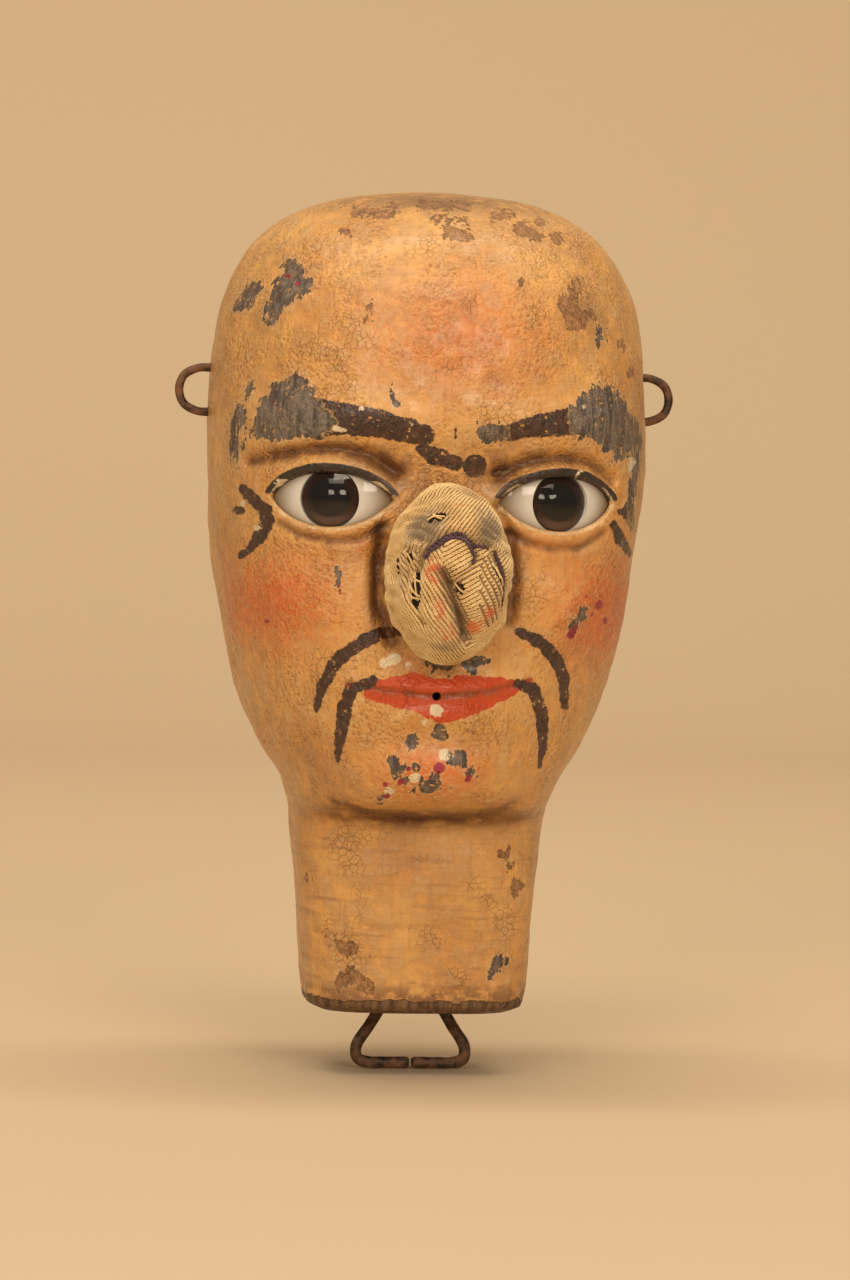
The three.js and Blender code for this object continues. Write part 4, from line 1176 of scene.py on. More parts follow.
def iris_material():
    material, tree = new_material("brown_glass")
    where = object_coordinates(tree)
    reach = attribute(tree, "reach")
    low = attribute(tree, "low")
    fibres = add_node(tree, "ShaderNodeTexNoise", {
        "Vector": add_node(tree, "ShaderNodeCombineXYZ", {
            0: number(tree, "MULTIPLY", attribute(tree, "turn"), 9.0),
            1: number(tree, "MULTIPLY", reach, 1.2)}).outputs[0],
        "Scale": 2.0, "Detail": 4.0}).outputs[0]
    warm = number(tree, "MULTIPLY", fibres, rise(tree, reach, 0.55, 0.85))
    colour = colour_mix(tree, warm, (0.003, 0.002, 0.001), (0.030, 0.010, 0.005))
    # Painted light: a lighter brown crescent at the bottom of the iris, where the lens would gather the
    # lamps' light onto it.
    lit_lower_crescent = number(tree, "MULTIPLY", rise(tree, low, 0.35, 0.75), rise(tree, reach, 0.95, 0.80, 0.0, 1.0))
    colour = colour_mix(tree, number(tree, "MULTIPLY", lit_lower_crescent, 0.9), colour, (0.075, 0.036, 0.026))
    rim = rise(tree, reach, 0.86, 1.0)
    colour = colour_mix(tree, rim, colour, (0.004, 0.003, 0.003))
    cloud = speckle(tree, where, 0.0005, detail=2.0)
    shader = add_node(tree, "ShaderNodeBsdfPrincipled", {
        "Base Color": colour, "Roughness": 0.4, "Specular IOR Level": 0.0,
        "Normal": bumped(tree, cloud, 0.00003)})
    finish_material(tree, shader.outputs[0])
    return material


def pupil_material():
    material, tree = new_material("black_glass")
    where = object_coordinates(tree)
    cloud = speckle(tree, where, 0.001, detail=2.0)
    colour = colour_mix(tree, cloud, (0.002, 0.0015, 0.0015), (0.004, 0.003, 0.003))
    shader = add_node(tree, "ShaderNodeBsdfPrincipled", {
        "Base Color": colour, "Roughness": 0.4, "Specular IOR Level": 0.0})
    finish_material(tree, shader.outputs[0])
    return material


def clear_glass_material():
    """Clear glass that lamps shine straight through, so that the iris under it is lit."""
    material, tree = new_material("clear_glass")
    where = object_coordinates(tree)
    ripple = speckle(tree, where, 0.0035, detail=0.0)
    glass = add_node(tree, "ShaderNodeBsdfPrincipled", {
        "Base Color": (1, 1, 1, 1), "Roughness": 0.015, "IOR": 1.36, "Transmission Weight": 1.0,
        "Normal": bumped(tree, ripple, 0.00002)})
    open_way = add_node(tree, "ShaderNodeBsdfTransparent")
    shadow_ray = add_node(tree, "ShaderNodeLightPath").outputs["Is Shadow Ray"]
    mix = add_node(tree, "ShaderNodeMixShader", {
        0: shadow_ray, 1: glass.outputs[0], 2: open_way.outputs[0]})
    finish_material(tree, mix.outputs[0])
    return material


def place_eye_piece(piece, node, material):
    piece.data.materials.clear()
    piece.data.materials.append(material)
    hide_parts(node)
    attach(piece, "head")


white_glass = white_glass_material()
brown_glass = iris_material()
black_glass = pupil_material()
clear_glass = clear_glass_material()
iris_front = eye_face + iris_inset
for side, side_name in ((-1, "left"), (1, "right")):
    shell = eye_white_shell("glass_eye_" + side_name, side)
    place_eye_piece(shell, "eye_white_" + side_name, white_glass)
    iris_profile = rounded_disc(iris_radius, iris_front + 0.3, iris_front + iris_thick)
    iris = turned("glass_iris_" + side_name, bulged(iris_profile), side)
    place_eye_piece(iris, "eye_iris_" + side_name, brown_glass)
    pupil_profile = rounded_disc(pupil_radius, iris_front + 0.05, iris_front + 0.28, edge=0.06)
    pupil = turned("glass_pupil_" + side_name, bulged(pupil_profile), side)
    place_eye_piece(pupil, "eye_pupil_" + side_name, black_glass)
    lens = turned("glass_lens_" + side_name, lens_profile(), side)
    place_eye_piece(lens, "eye_cornea_" + side_name, clear_glass)

# ---- padded nose ----
# The nose is a wad of dark rag on a peg, wrapped tightly in a piece of old knit stocking. The
# cloth is folded into two lobes with a deep crease, and is worn through in several places.

cloth_thick = 0.4
crease = [(-2.2, 0.4), (-1.0, -2.2), (0.2, -5.6), (1.5, -8.0), (2.5, -10.8), (3.3, -13.4)]
thread_arc = [(-5.5, 4.6), (-3.6, 6.2), (-1.0, 7.8), (1.6, 7.8), (3.4, 6.4), (7.4, 5.8)]
loop_fold = [(3.6, 6.6), (4.3, 3.5), (2.6, 0.8), (-0.4, -1.4)]
side_fold = [(8.2, 4.4), (10.2, 1.2), (11.6, -3.0), (11.2, -7.0)]
left_fold = [(-6.9, 3.4), (-7.2, -0.6), (-7.0, -6.0), (-5.8, -9.6)]
far_fold = [(-9.4, 5.2), (-9.8, 1.0), (-9.6, -3.5)]
# Worn holes: middle across and up, half width, half height, lean in degrees.
worn_holes = [
    (-3.7, 11.9, 2.0, 1.0, 20), (-9.2, 3.4, 0.6, 1.2, -5), (-12.0, 1.6, 0.45, 1.8, 0),
    (-7.4, -3.0, 0.85, 3.6, 2), (0.9, -2.2, 0.75, 0.9, 10), (8.1, 1.9, 0.5, 0.45, 0),
    (8.9, 0.5, 0.6, 0.5, 0), (9.8, -1.2, 0.75, 0.8, 0), (10.6, -3.6, 0.5, 0.4, 0),
]
stains = {
    "grey": [(-6.0, 9.5, 4.0, 4.2, 1.0), (8.2, 9.6, 3.4, 3.2, 1.0), (-11.0, -1.0, 2.0, 7.0, 0.35),
             (6.5, 14.0, 3.0, 2.0, 0.3), (-1.0, -15.5, 6.0, 1.6, 0.5)],
    "orange": [(-3.9, 0.9, 1.7, 2.3, 1.0), (-2.6, -6.4, 1.1, 2.4, 0.55), (-0.8, -11.6, 1.5, 2.4, 0.8),
               (4.6, -10.2, 1.8, 2.0, 0.7), (7.3, -6.8, 1.5, 1.6, 0.8), (1.2, 15.0, 3.0, 0.9, 0.35)],
}


def line_distance(s, t, line):
    return stroke_distance(s, t, [(a, b, 0.0) for a, b in line])


def cloth_height(s, t):
    """How far the wrapped cloth stands off the plain ball at a place on the flat cloth."""
    height = 1.0 * swell(s + 4.2, t + 6.0, 4.6, 9.0)
    height += 1.3 * swell(s - 6.3, t + 5.0, 4.2, 9.0)
    height += 0.9 * swell(s - 1.2, t - 2.0, 3.0, 5.0)
    height += 0.6 * swell(s + 10.2, t, 1.6, 9.0)
    height -= 2.9 * np.exp(-((line_distance(s, t, crease) / 1.15) ** 2))
    height -= 1.1 * np.exp(-((line_distance(s, t, thread_arc) / 0.95) ** 2))
    height -= 1.3 * np.exp(-((line_distance(s, t, loop_fold) / 0.8) ** 2))
    height -= 0.9 * np.exp(-((line_distance(s, t, side_fold) / 0.8) ** 2))
    height -= 1.0 * np.exp(-((line_distance(s, t, left_fold) / 0.9) ** 2))
    height -= 0.7 * np.exp(-((line_distance(s, t, far_fold) / 0.7) ** 2))
    ruck_left = swell(s + 6.5, t - 8.0, 3.6, 5.0)
    height += 0.28 * ruck_left * np.sin(2.6 * (t + 0.35 * s) + 0.8 * np.sin(1.1 * s))
    ruck_right = swell(s - 8.0, t - 8.5, 3.2, 3.6)
    height += 0.25 * ruck_right * np.sin(3.0 * (t + 0.5 * s))
    flat = np.stack([s, t, 0 * s], -1).reshape(-1, 3)
    for size, amount, seed in ((9, 0.30, 5), (3.2, 0.14, 6)):
        height += amount * lumps(flat, size, seed).reshape(np.shape(s))
    return height


def on_nose(s, t, lift=0.0):
    """Points on the wrapped nose for places on the flat cloth, in millimetres, and their normals."""
    across, up = s / nose_half[0], t / nose_half[2]
    lean = np.hypot(across, up)
    share = np.where(lean < 1e-6, 1.0, np.sin(lean) / np.maximum(lean, 1e-6))
    dx, dz, front = across * share, up * share, np.cos(lean)
    normal = np.stack([dx / nose_half[0], -front / nose_reach, dz / nose_half[2]], -1)
    normal /= np.linalg.norm(normal, axis=-1, keepdims=True)
    points = np.stack([
        nose_half[0] * dx, -nose_depth - nose_reach * front, nose_height + nose_half[2] * dz], -1)
    fade = np.clip((2.1 - lean) / 0.7, 0, 1)
    stand = cloth_height(s, t) * fade - 0.75 + lift
    return points + normal * stand[..., None], normal


def in_hole(s, t):
    """How deep a place is inside the nearest worn hole: above 1 is outside them all."""
    nearest = np.full(np.shape(s), 9.0)
    for hs, ht, half_width, half_height, lean in worn_holes:
        c, d = math.cos(math.radians(lean)), math.sin(math.radians(lean))
        a = (s - hs) * c + (t - ht) * d
        b = (t - ht) * c - (s - hs) * d
        nearest = np.minimum(nearest, np.hypot(a / half_width, b / half_height))
    return nearest


def stain(name, s, t):
    total = np.zeros(np.shape(s))
    for ms, mt, half_width, half_height, strength in stains[name]:
        total += strength * swell(s - ms, t - mt, half_width, half_height)
    return np.clip(total, 0, 1)


cloth_turn = 2.25
cloth_half = (cloth_turn * nose_half[0], cloth_turn * nose_half[2])


def face_cloth_outwards(piece):
    """Turns the open cloth round if its faces point towards the middle of the nose."""
    mesh = piece.data
    middle = np.mean([v.co[:] for v in mesh.vertices], axis=0)
    total = 0.0
    for polygon in mesh.polygons:
        total += float(np.dot(np.array(polygon.center) - middle, polygon.normal)) * polygon.area
    if total < 0:
        mesh.flip_normals()


def knit_backing():
    """The cloth itself, a thin closed sheet with its worn holes."""
    step = 0.42
    s_line = np.arange(-cloth_half[0], cloth_half[0] + step, step)
    t_line = np.arange(-cloth_half[1], cloth_half[1] + step, step)
    s, t = np.meshgrid(s_line, t_line)
    ragged = 0.25 * np.sin(7.1 * s + 2 * np.sin(5.3 * t)) + 0.2 * np.sin(6.3 * t + 1.7)
    lean = np.hypot(s / nose_half[0], t / nose_half[2])
    kept = (lean < cloth_turn) & (in_hole(s, t) > 1 + ragged * 0.5)
    outer, _ = on_nose(s, t)
    faces = []
    for quad in grid_faces(len(t_line), len(s_line)):
        if all(kept.flat[k] for k in quad):
            faces.append(quad)
    used = sorted({k for quad in faces for k in quad})
    place = {k: n for n, k in enumerate(used)}
    faces = [tuple(place[k] for k in quad)[::-1] for quad in faces]
    flat_s, flat_t = s.reshape(-1)[used], t.reshape(-1)[used]
    sheet = add_mesh("knit_cloth_on_nose", outer.reshape(-1, 3)[used] * mm, faces)
    store(sheet.data, "grey", stain("grey", flat_s, flat_t))
    store(sheet.data, "orange", stain("orange", flat_s, flat_t))
    face_cloth_outwards(sheet)
    wall = sheet.modifiers.new("wall", "SOLIDIFY")
    wall.thickness = cloth_thick * mm
    wall.offset = -1.0
    return settle(sheet)


def side_of(s, t, line):
    """Positive to the right of a line that runs down the cloth."""
    line = sorted(line, key=lambda point: point[1])
    edge = np.interp(t, [p[1] for p in line], [p[0] for p in line])
    return s - edge


def stitch_places(wale, course):
    """Where each stitch sits on the flat cloth, and the way its rib runs."""
    draw = np.random.default_rng(11)
    arc = sorted(thread_arc)
    ribs = {"dome": 54, "left": -58, "right": 30}
    rows = []
    for zone, angle in ribs.items():
        c, d = math.cos(math.radians(angle)), math.sin(math.radians(angle))
        reach = max(cloth_half)
        a = np.arange(-reach, reach, course)
        b = np.arange(-reach, reach, wale)
        a, b = (grid.ravel() for grid in np.meshgrid(a, b))
        s, t = a * c - b * d, a * d + b * c
        lean = np.hypot(s / nose_half[0], t / nose_half[2])
        above = t > np.interp(s, [p[0] for p in arc], [p[1] for p in arc]) - 0.2
        right = side_of(s, t, crease) > 0
        zone_here = np.where(above, "dome", np.where(right, "right", "left"))
        keep = (zone_here == zone) & (lean < cloth_turn - 0.05)
        keep &= in_hole(s, t) > 1.05 + 0.15 * np.sin(9 * s + 5 * t)
        ladder = (zone == "right") & (s > 4.5) & (np.round(a / course).astype(int) % 2 == 0)
        ladder &= (t > -11) & (t < 4) & (np.hypot(s - 7.5, (t + 3) / 2) < 3.6)
        keep &= ~ladder
        count = int(keep.sum())
        s = s[keep] + draw.normal(0, 0.035, count)
        t = t[keep] + draw.normal(0, 0.035, count)
        heading = math.radians(angle) + draw.normal(0, 0.07, count)
        rows.append(np.stack([s, t, heading], 1))
    return np.concatenate(rows)


def stitch_tree():
    """Knit stitches on points: each is two bent legs of yarn that meet in a V."""
    tree = bpy.data.node_groups.new("knit_stitches", "GeometryNodeTree")
    face = tree.interface
    face.new_socket("Geometry", in_out="INPUT", socket_type="NodeSocketGeometry")
    for name in ("Stitch Length", "Stitch Width", "Yarn Radius"):
        face.new_socket(name, in_out="INPUT", socket_type="NodeSocketFloat")
    face.new_socket("Yarn", in_out="INPUT", socket_type="NodeSocketMaterial")
    face.new_socket("Geometry", in_out="OUTPUT", socket_type="NodeSocketGeometry")
    given = tree.nodes.new("NodeGroupInput").outputs
    length, width, radius = given["Stitch Length"], given["Stitch Width"], given["Yarn Radius"]

    def point(along, across, up):
        parts = {0: number(tree, "MULTIPLY", length, along), 1: number(tree, "MULTIPLY", width, across),
                 2: number(tree, "MULTIPLY", radius, up)}
        return add_node(tree, "ShaderNodeCombineXYZ", parts).outputs[0]

    ring = add_node(tree, "GeometryNodeCurvePrimitiveCircle", {"Resolution": 4, "Radius": radius})
    legs = tree.nodes.new("GeometryNodeJoinGeometry")
    for across in (-1, 1):
        leg = add_node(tree, "GeometryNodeCurveQuadraticBezier", {
            "Resolution": 2, "Start": point(-0.62, 0.06 * across, -0.6),
            "Middle": point(0.10, 0.20 * across, 1.7), "End": point(0.60, 0.30 * across, -0.6)})
        tube = add_node(tree, "GeometryNodeCurveToMesh", {
            "Curve": leg.outputs[0], "Profile Curve": ring.outputs[0], "Fill Caps": True})
        tree.links.new(tube.outputs[0], legs.inputs[0])
    axes = {}
    for key, name in (("Primary Axis", "out"), ("Secondary Axis", "along")):
        axes[key] = add_node(tree, "GeometryNodeInputNamedAttribute", {"Name": name},
                             data_type="FLOAT_VECTOR").outputs[0]
    turn = add_node(tree, "FunctionNodeAxesToRotation", axes, primary_axis="Z", secondary_axis="X")
    size = add_node(tree, "GeometryNodeInputNamedAttribute", {"Name": "size"}, data_type="FLOAT")
    placed = add_node(tree, "GeometryNodeInstanceOnPoints", {
        "Points": given["Geometry"], "Instance": legs.outputs[0], "Rotation": turn.outputs[0],
        "Scale": size.outputs[0]})
    real = add_node(tree, "GeometryNodeRealizeInstances", {"Geometry": placed.outputs[0]})
    dressed = add_node(tree, "GeometryNodeSetMaterial", {
        "Geometry": real.outputs[0], "Material": given["Yarn"]})
    out = tree.nodes.new("NodeGroupOutput")
    tree.links.new(dressed.outputs[0], out.inputs[0])
    return tree


def store_vector(mesh, name, values):
    attribute = mesh.attributes.new(name, "FLOAT_VECTOR", "POINT")
    attribute.data.foreach_set("vector", np.asarray(values, np.float32).ravel())


def knit_stitches(material, tree, side, side_name):
    """The stitches to one side of the middle of the nose, so that neither piece is heavy."""
    course, wale, yarn = 0.62, 0.76, 0.125
    places = stitch_places(wale, course)
    here = np.where(places[:, 0] < 0, -1, 1) == side
    shade = np.random.default_rng(3).uniform(0, 1, len(places))[here]
    s, t, heading = places[here].T
    nudge = 0.15
    ahead, _ = on_nose(s + nudge * np.cos(heading), t + nudge * np.sin(heading))
    behind, _ = on_nose(s - nudge * np.cos(heading), t - nudge * np.sin(heading))
    left, _ = on_nose(s - nudge * np.sin(heading), t + nudge * np.cos(heading))
    right, _ = on_nose(s + nudge * np.sin(heading), t - nudge * np.cos(heading))
    along, over = ahead - behind, left - right
    out = np.cross(along, over)
    centre, plain = on_nose(s, t, lift=yarn * 0.7)
    out *= np.sign(np.sum(out * plain, axis=1))[:, None]
    stretch = np.minimum(np.linalg.norm(along, axis=1), np.linalg.norm(over, axis=1)) / (2 * nudge)
    bed = add_mesh("knit_stitches_" + side_name, centre * mm, [])
    store_vector(bed.data, "along", along)
    store_vector(bed.data, "out", out)
    store(bed.data, "size", np.clip(stretch, 0.62, 1.15))
    store(bed.data, "grey", stain("grey", s, t))
    store(bed.data, "orange", stain("orange", s, t))
    store(bed.data, "shade", shade)
    # Painted shade: stitches that sink into the cloth's folds and creases get a darker colour.
    store(bed.data, "crease_shade", np.clip(-0.45 * cloth_height(s, t), 0, 1))
    knit = bed.modifiers.new("knit", "NODES")
    knit.node_group = tree
    sizes = {"Stitch Length": course * mm, "Stitch Width": wale * mm, "Yarn Radius": yarn * mm,
             "Yarn": material}
    for item in knit.node_group.interface.items_tree:
        if item.in_out == "INPUT" and item.name in sizes:
            knit[item.identifier] = sizes[item.name]
    settle(bed)
    bed.data.shade_smooth()
    return bed


def knit_material(name, light, dark, shade=None):
    material, tree = new_material(name)
    where = object_coordinates(tree)
    cloud = speckle(tree, where, 0.006, detail=3.0)
    fibre = speckle(tree, where, 0.00018, detail=3.0, roughness=0.7)
    blotch = speckle(tree, where, 0.0018, detail=4.0, roughness=0.65)
    colour = colour_mix(tree, rise(tree, cloud, 0.3, 0.7), light, dark)
    colour = colour_mix(tree, rise(tree, fibre, 0.35, 0.75, 0.0, 0.6), colour, dark)
    if shade:
        colour = colour_mix(tree, rise(tree, attribute(tree, shade), 0.4, 1.0, 0.0, 0.6), colour, dark)
        # Painted shade in the folds and creases of the cloth.
        colour = colour_mix(tree, attribute(tree, "crease_shade"), colour, (0.20, 0.115, 0.05))
    orange = number(tree, "MULTIPLY", attribute(tree, "orange"), rise(tree, blotch, 0.35, 0.6))
    colour = colour_mix(tree, rise(tree, orange, 0.05, 0.6, 0.0, 0.75), colour, (0.68, 0.13, 0.035))
    grey = number(tree, "MULTIPLY", attribute(tree, "grey"), rise(tree, blotch, 0.30, 0.55, 0.35, 1.0))
    colour = colour_mix(tree, rise(tree, grey, 0.05, 0.7, 0.0, 0.85), colour, (0.24, 0.18, 0.125))
    shader = add_node(tree, "ShaderNodeBsdfPrincipled", {
        "Base Color": colour, "Roughness": 0.88, "Specular IOR Level": 0.25, "Sheen Weight": 0.25,
        "Sheen Roughness": 0.5, "Normal": bumped(tree, fibre, 0.00006)})
    finish_material(tree, shader.outputs[0])
    return material


def smooth_route(points, steps):
    """A smooth line through the points, with the same number of steps between each two."""
    points = np.array(points, float)
    first = 2 * points[0] - points[1]
    last = 2 * points[-1] - points[-2]
    line = np.concatenate([[first], points, [last]])
    route = []
    for a, b, c, d in zip(line, line[1:], line[2:], line[3:]):
        ab, bc, cd = (max(np.linalg.norm(q - p), 1e-6) ** 0.5 for p, q in ((a, b), (b, c), (c, d)))
        leave = bc * ((b - a) / ab - (c - a) / (ab + bc) + (c - b) / bc)
        arrive = bc * ((c - b) / bc - (d - b) / (bc + cd) + (d - c) / cd)
        for t in np.linspace(0, 1, steps, endpoint=False):
            route.append((2 * t**3 - 3 * t**2 + 1) * b + (t**3 - 2 * t**2 + t) * leave
                         + (3 * t**2 - 2 * t**3) * c + (t**3 - t**2) * arrive)
    return np.array([*route, points[-1]])


def moving_frames(route):
    """Directions along, and two across, at each point of a route, turning as little as they can."""
    along = np.gradient(route, axis=0)
    along /= np.linalg.norm(along, axis=1, keepdims=True)
    across = np.cross(along[0], [0, 0, 1] if abs(along[0][2]) < 0.9 else [0, 1, 0])
    frames = []
    for direction in along:
        across = across - direction * np.dot(across, direction)
        across /= np.linalg.norm(across)
        frames.append((across, np.cross(direction, across)))
    return frames


def round_tube(route, radius, sides=20):
    """Points and faces of a closed round tube with eased ends; radius may change along it."""
    radii = np.broadcast_to(radius, len(route)).copy()
    radii[[0, -1]] *= 0.75
    turns = np.linspace(0, 2 * math.pi, sides, endpoint=False)
    rings = []
    for centre, (u, v), r in zip(route, moving_frames(route), radii):
        rings.append(centre + r * (np.outer(np.cos(turns), u) + np.outer(np.sin(turns), v)))
    faces = grid_faces(len(rings), sides, closed=True)
    faces.append(tuple(range(sides))[::-1])
    faces.append(tuple(range((len(rings) - 1) * sides, len(rings) * sides)))
    return np.concatenate(rings), faces


def join_shapes(shapes):
    points, faces, count = [], [], 0
    for shape_points, shape_faces in shapes:
        points.append(shape_points)
        faces += [tuple(k + count for k in face) for face in shape_faces]
        count += len(shape_points)
    return np.concatenate(points), faces


def two_ply(route, ply_radius, twist_length):
    """Two strands laid round each other along a route."""
    lengths = np.concatenate([[0], np.cumsum(np.linalg.norm(np.diff(route, axis=0), axis=1))])
    frames = moving_frames(route)
    strands = []
    for start in (0, math.pi):
        turns = lengths / twist_length * 2 * math.pi + start
        strand = [p + ply_radius * (math.cos(a) * u + math.sin(a) * v)
                  for p, a, (u, v) in zip(route, turns, frames)]
        strands.append(round_tube(np.array(strand), ply_radius * 1.05, 8))
    return join_shapes(strands)


def loose_yarns(material):
    """Broken and slack yarns that cross the worn holes."""
    routes = [
        [(-8.4, -0.4), (-7.5, -1.2), (-6.5, -1.3)], [(-8.4, -2.6), (-7.6, -3.8), (-6.5, -4.2)],
        [(-8.3, -4.4), (-7.3, -4.8), (-6.5, -4.6)], [(-8.0, 0.6), (-7.7, -2.4), (-7.2, -5.2)],
        [(-5.6, 11.2), (-4.2, 12.1), (-2.0, 11.9)], [(-4.6, 12.9), (-3.6, 11.8), (-2.6, 11.3)],
        [(7.4, 2.4), (8.5, 1.2), (9.2, -0.4)], [(8.3, 1.3), (9.6, -0.4), (10.5, -2.0)],
        [(0.1, -1.4), (1.0, -2.5), (1.7, -3.0)], [(-9.8, 4.4), (-9.1, 3.2), (-8.6, 2.2)],
        [(8.6, -10.6), (10.2, -11.8), (11.2, -11.0), (10.8, -9.6)],
    ]
    strands = []
    for route in routes:
        s, t = np.array(route, float).T
        laid, _ = on_nose(s, t, lift=0.30)
        strands.append(two_ply(smooth_route(laid, 8), 0.10, 0.8))
    points, faces = join_shapes(strands)
    piece = add_mesh("loose_yarn_on_nose", points * mm, faces)
    flip_inside_out(piece)
    piece.data.materials.append(material)
    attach(piece, "head")
    return piece


def rag_core():
    """The wad inside, which follows the cloth a little way under it and closes behind."""
    rows, around = 60, 90
    points = []
    for k in range(1, rows):
        lean = math.pi * k / rows
        turns = np.linspace(0, 2 * math.pi, around, endpoint=False)
        s, t = lean * nose_half[0] * np.cos(turns), lean * nose_half[2] * np.sin(turns)
        ring, _ = on_nose(s, t, lift=-1.1)
        points.append(ring)
    flat = np.concatenate(points)
    flat += 0.10 * lumps(flat, 1.6, 8)[:, None] * (flat - [0, -nose_depth, nose_height]) / 12
    front, _ = on_nose(np.zeros(1), np.zeros(1), lift=-1.1)
    back = [[0, -nose_depth + nose_reach - 1.85, nose_height]]
    everything = np.concatenate([flat, front, back])
    faces = grid_faces(rows - 1, around, closed=True) + pole_faces(len(flat), around)
    core = add_mesh("rag_wad_in_nose", everything * mm, faces)
    flip_inside_out(core)
    peg_hole = round_bar((0, -inner_peg_end, nose_height), (0, -outer_peg_end, nose_height),
                         peg_radius + peg_gap)
    return cut_away(core, [cutter(*peg_hole)])


def rag_material():
    material, tree = new_material("dark_rag")
    where = object_coordinates(tree)
    cloud = speckle(tree, where, 0.0012, detail=5.0, roughness=0.65)
    thread = speckle(tree, where, 0.0003, detail=2.0, stretch=(1, 1, 0.25))
    colour = colour_mix(tree, rise(tree, cloud, 0.35, 0.7), (0.022, 0.012, 0.008), (0.10, 0.055, 0.030))
    height = number(tree, "ADD", cloud, number(tree, "MULTIPLY", thread, 0.4))
    shader = add_node(tree, "ShaderNodeBsdfPrincipled", {
        "Base Color": colour, "Roughness": 0.95, "Normal": bumped(tree, height, 0.0003)})
    finish_material(tree, shader.outputs[0])
    return material


inner_peg_end = nose_depth - nose_reach - 2
peg_tip = -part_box("nose_peg")[0].y / mm
outer_peg_end = peg_tip + 0.3
core = rag_core()
core.data.materials.clear()
core.data.materials.append(rag_material())
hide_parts("nose_core")
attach(core, "head")

backing = knit_backing()
# The backing is the same knit as the stitches in a darker colour: painted shade in the gaps between the
# stitches.
backing.data.materials.append(knit_material("knit_backing", (0.36, 0.22, 0.095), (0.17, 0.09, 0.04)))
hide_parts("nose_cloth")
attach(backing, "head")
yarn_finish = knit_material("knit_yarn", (0.94, 0.74, 0.39), (0.76, 0.51, 0.22), shade="shade")
stitch_nodes = stitch_tree()
for side, side_name in ((-1, "left"), (1, "right")):
    part = knit_stitches(yarn_finish, stitch_nodes, side, side_name)
    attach(part, "head")
loose = loose_yarns(yarn_finish)

# ---- binding thread ----
# Dark purple two-ply thread binds the wrapped cloth across the front and down one side.


def thread_material():
    material, tree = new_material("purple_thread")
    where = object_coordinates(tree)
    fibre = speckle(tree, where, 0.00022, detail=3.0)
    cloud = speckle(tree, where, 0.002, detail=2.0)
    colour = colour_mix(tree, fibre, (0.035, 0.014, 0.022), (0.125, 0.058, 0.075))
    colour = colour_mix(tree, rise(tree, cloud, 0.5, 0.8, 0.0, 0.5), colour, (0.20, 0.12, 0.09))
    shader = add_node(tree, "ShaderNodeBsdfPrincipled", {
        "Base Color": colour, "Roughness": 0.8, "Sheen Weight": 0.2,
        "Normal": bumped(tree, fibre, 0.00005)})
    finish_material(tree, shader.outputs[0])
    return material


def laid_thread(route):
    s, t = np.array(route, float).T
    laid, _ = on_nose(s, t, lift=0.5)
    return two_ply(smooth_route(laid, 26), 0.21, 1.7)


def thread_piece(name, routes, node):
    points, faces = join_shapes([laid_thread(route) for route in routes])
    piece = add_mesh(name, points * mm, faces)
    flip_inside_out(piece)
    piece.data.materials.append(purple_thread)
    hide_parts(node)
    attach(piece, "head")
    return piece


purple_thread = thread_material()
upper_route = [(-5.5, 4.6), (-4.6, 5.5), (-3.6, 6.2), (-2.3, 7.1), (-1.0, 7.7), (0.4, 8.1), (1.6, 7.8),
               (2.6, 7.0), (3.4, 6.4), (4.6, 6.0), (6.0, 5.8), (7.3, 5.8)]
side_route = [(8.6, 5.2), (9.3, 3.8), (10.1, 2.2), (10.8, 0.2), (11.2, -1.8), (11.2, -4.0), (10.8, -6.2)]
second_route = [(-6.2, 3.2), (-5.0, 4.4), (-3.4, 5.2), (-1.4, 6.9), (0.6, 7.0), (2.2, 6.2), (3.0, 5.0),
                (3.8, 3.6), (3.6, 2.2)]
thread_piece("binding_thread_across", [upper_route, second_route], "nose_thread_upper")
thread_piece("binding_thread_beside", [side_route], "nose_thread_side")

# ---- temple loops, staple and link ----
# Soft iron wire, bent by hand: a loop driven into each temple for the head strings, a staple in
# the hollow under the neck, and a loose link that hangs on it and carries the body.


def iron_material():
    material, tree = new_material("rusty_iron_wire")
    where = object_coordinates(tree)
    rust = speckle(tree, where, 0.0022, detail=5.0, roughness=0.65)
    pits = speckle(tree, where, 0.0005, detail=3.0, roughness=0.7)
    colour = colour_mix(tree, rise(tree, rust, 0.35, 0.62), (0.055, 0.040, 0.032), (0.185, 0.085, 0.038))
    colour = colour_mix(tree, rise(tree, pits, 0.60, 0.72, 0.0, 0.7), colour, (0.30, 0.14, 0.06))
    roughness = rise(tree, rust, 0.3, 0.65, 0.42, 0.82)
    metal = rise(tree, rust, 0.35, 0.60, 0.75, 0.0)
    height = number(tree, "ADD", rust, number(tree, "MULTIPLY", pits, 0.5))
    shader = add_node(tree, "ShaderNodeBsdfPrincipled", {
        "Base Color": colour, "Roughness": roughness, "Metallic": metal,
        "Normal": bumped(tree, height, 0.00025)})
    finish_material(tree, shader.outputs[0])
    return material


def bent_wire(name, points, radius, node, body, seed):
    route = smooth_route(points, 14)
    swelling = 1 + 0.03 * lumps(route, 3.0, seed)
    tube_points, faces = round_tube(route, radius * swelling, 24)
    piece = add_mesh(name, tube_points * mm, faces)
    flip_inside_out(piece)
    piece.data.set_sharp_from_angle(angle=math.radians(60))
    piece.data.materials.append(rusty_iron)
    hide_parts(node)
    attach(piece, body)
    return piece


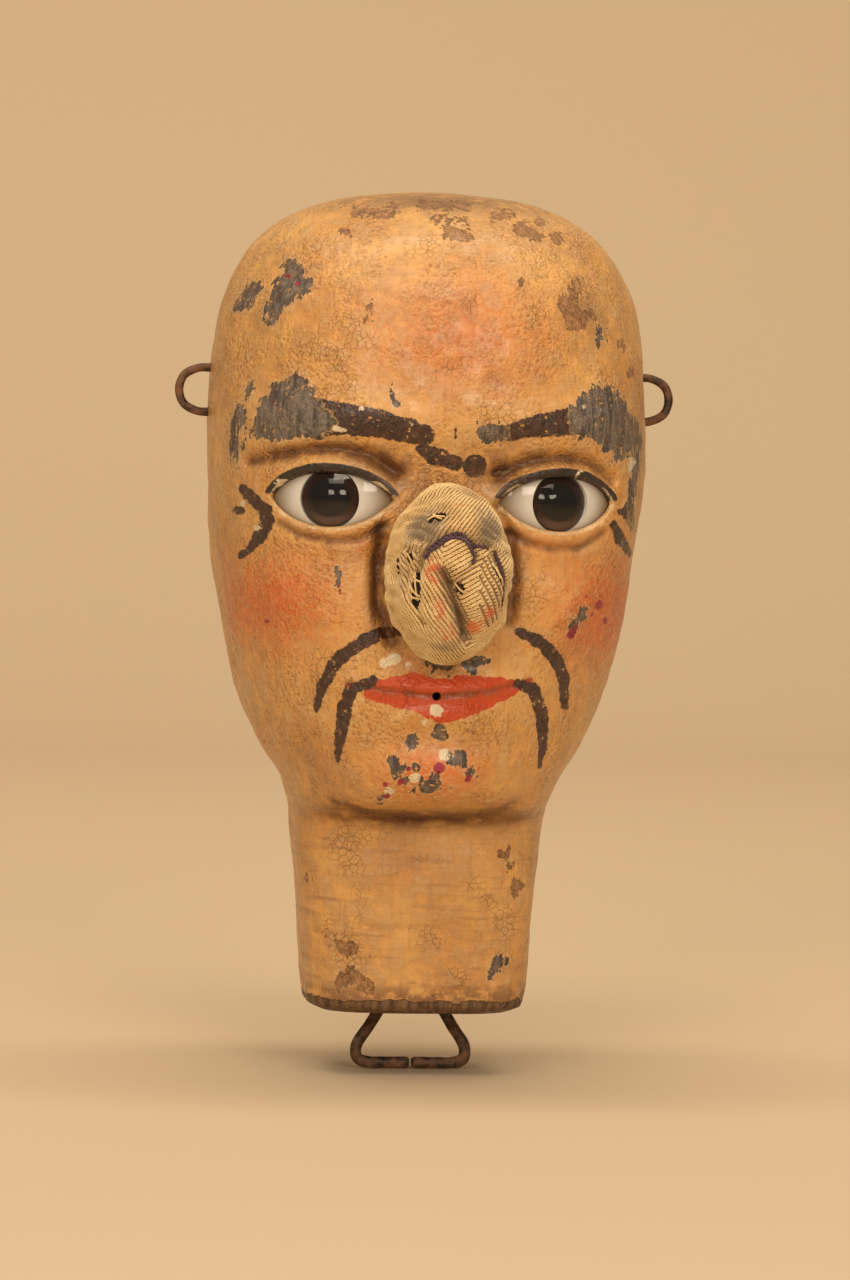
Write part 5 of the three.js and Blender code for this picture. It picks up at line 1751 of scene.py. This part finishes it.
def temple_route(side):
    inner = side * (temple - loop_driven)
    bend = side * (temple + 6.6 - loop_wire)
    shoulder = side * (temple + 6.6 - loop_half)
    rounding = shoulder + 0.75 * (bend - shoulder)
    upper = [(inner, 1), ((inner + side * temple) / 2, 1), (side * temple, 1), (shoulder, 0.96),
             (rounding, 0.62)]
    lower = [(x, -share) for x, share in upper][::-1]
    return [(x, 0, loop_height + share * loop_half) for x, share in [*upper, (bend, 0), *lower]]


staple_bar = 4.6


def staple_route():
    top, bend = hollow_depth + 10, 1.8
    half = [(staple_half, top), (staple_half, hollow_depth), (staple_half, staple_bar + bend),
            (staple_half - 0.3 * bend, staple_bar + 0.3 * bend), (staple_half - bend, staple_bar)]
    other = [(-y, z) for y, z in half][::-1]
    return [(0, y, z) for y, z in [*half, (0, staple_bar), *other]]


link_radius = 1.1
link_play = 0.45
link_lean = math.radians(31)
link_drop = 15.5
link_corner = 3.0
link_gap = 0.5


def link_route():
    bend = staple_wire + link_play + link_radius
    foot = staple_bar - link_drop
    leave = (bend * math.cos(link_lean), bend * math.sin(link_lean))
    corner = leave[0] + (leave[1] + link_drop - link_corner) * math.tan(link_lean)
    half = [(link_gap / 2, foot), (corner * 0.5, foot), (corner - link_corner * 0.9, foot),
            (corner - link_corner * 0.1, foot + link_corner * 0.25), (corner, foot + link_corner)]
    for share in (0.3, 0.6, 0.85):
        low, high = foot + link_corner, staple_bar + leave[1]
        half.append((corner + share * (leave[0] - corner), low + share * (high - low)))
    bends = 4
    for k in range(bends):
        angle = link_lean + (math.pi / 2 - link_lean) * k / bends
        half.append((bend * math.cos(angle), staple_bar + bend * math.sin(angle)))
    other = [(-x, z) for x, z in half][::-1]
    return [(x, 0, z) for x, z in [*half, (0, staple_bar + bend), *other]]


rusty_iron = iron_material()
for side, side_name in ((-1, "left"), (1, "right")):
    bent_wire("temple_wire_" + side_name, temple_route(side), loop_wire,
              "temple_loop_" + side_name, "head", 20 + side)
bent_wire("staple_wire_in_neck", staple_route(), staple_wire, "neck_staple", "head", 31)
bent_wire("swinging_wire_link", link_route(), link_radius, "neck_link", "link", 32)
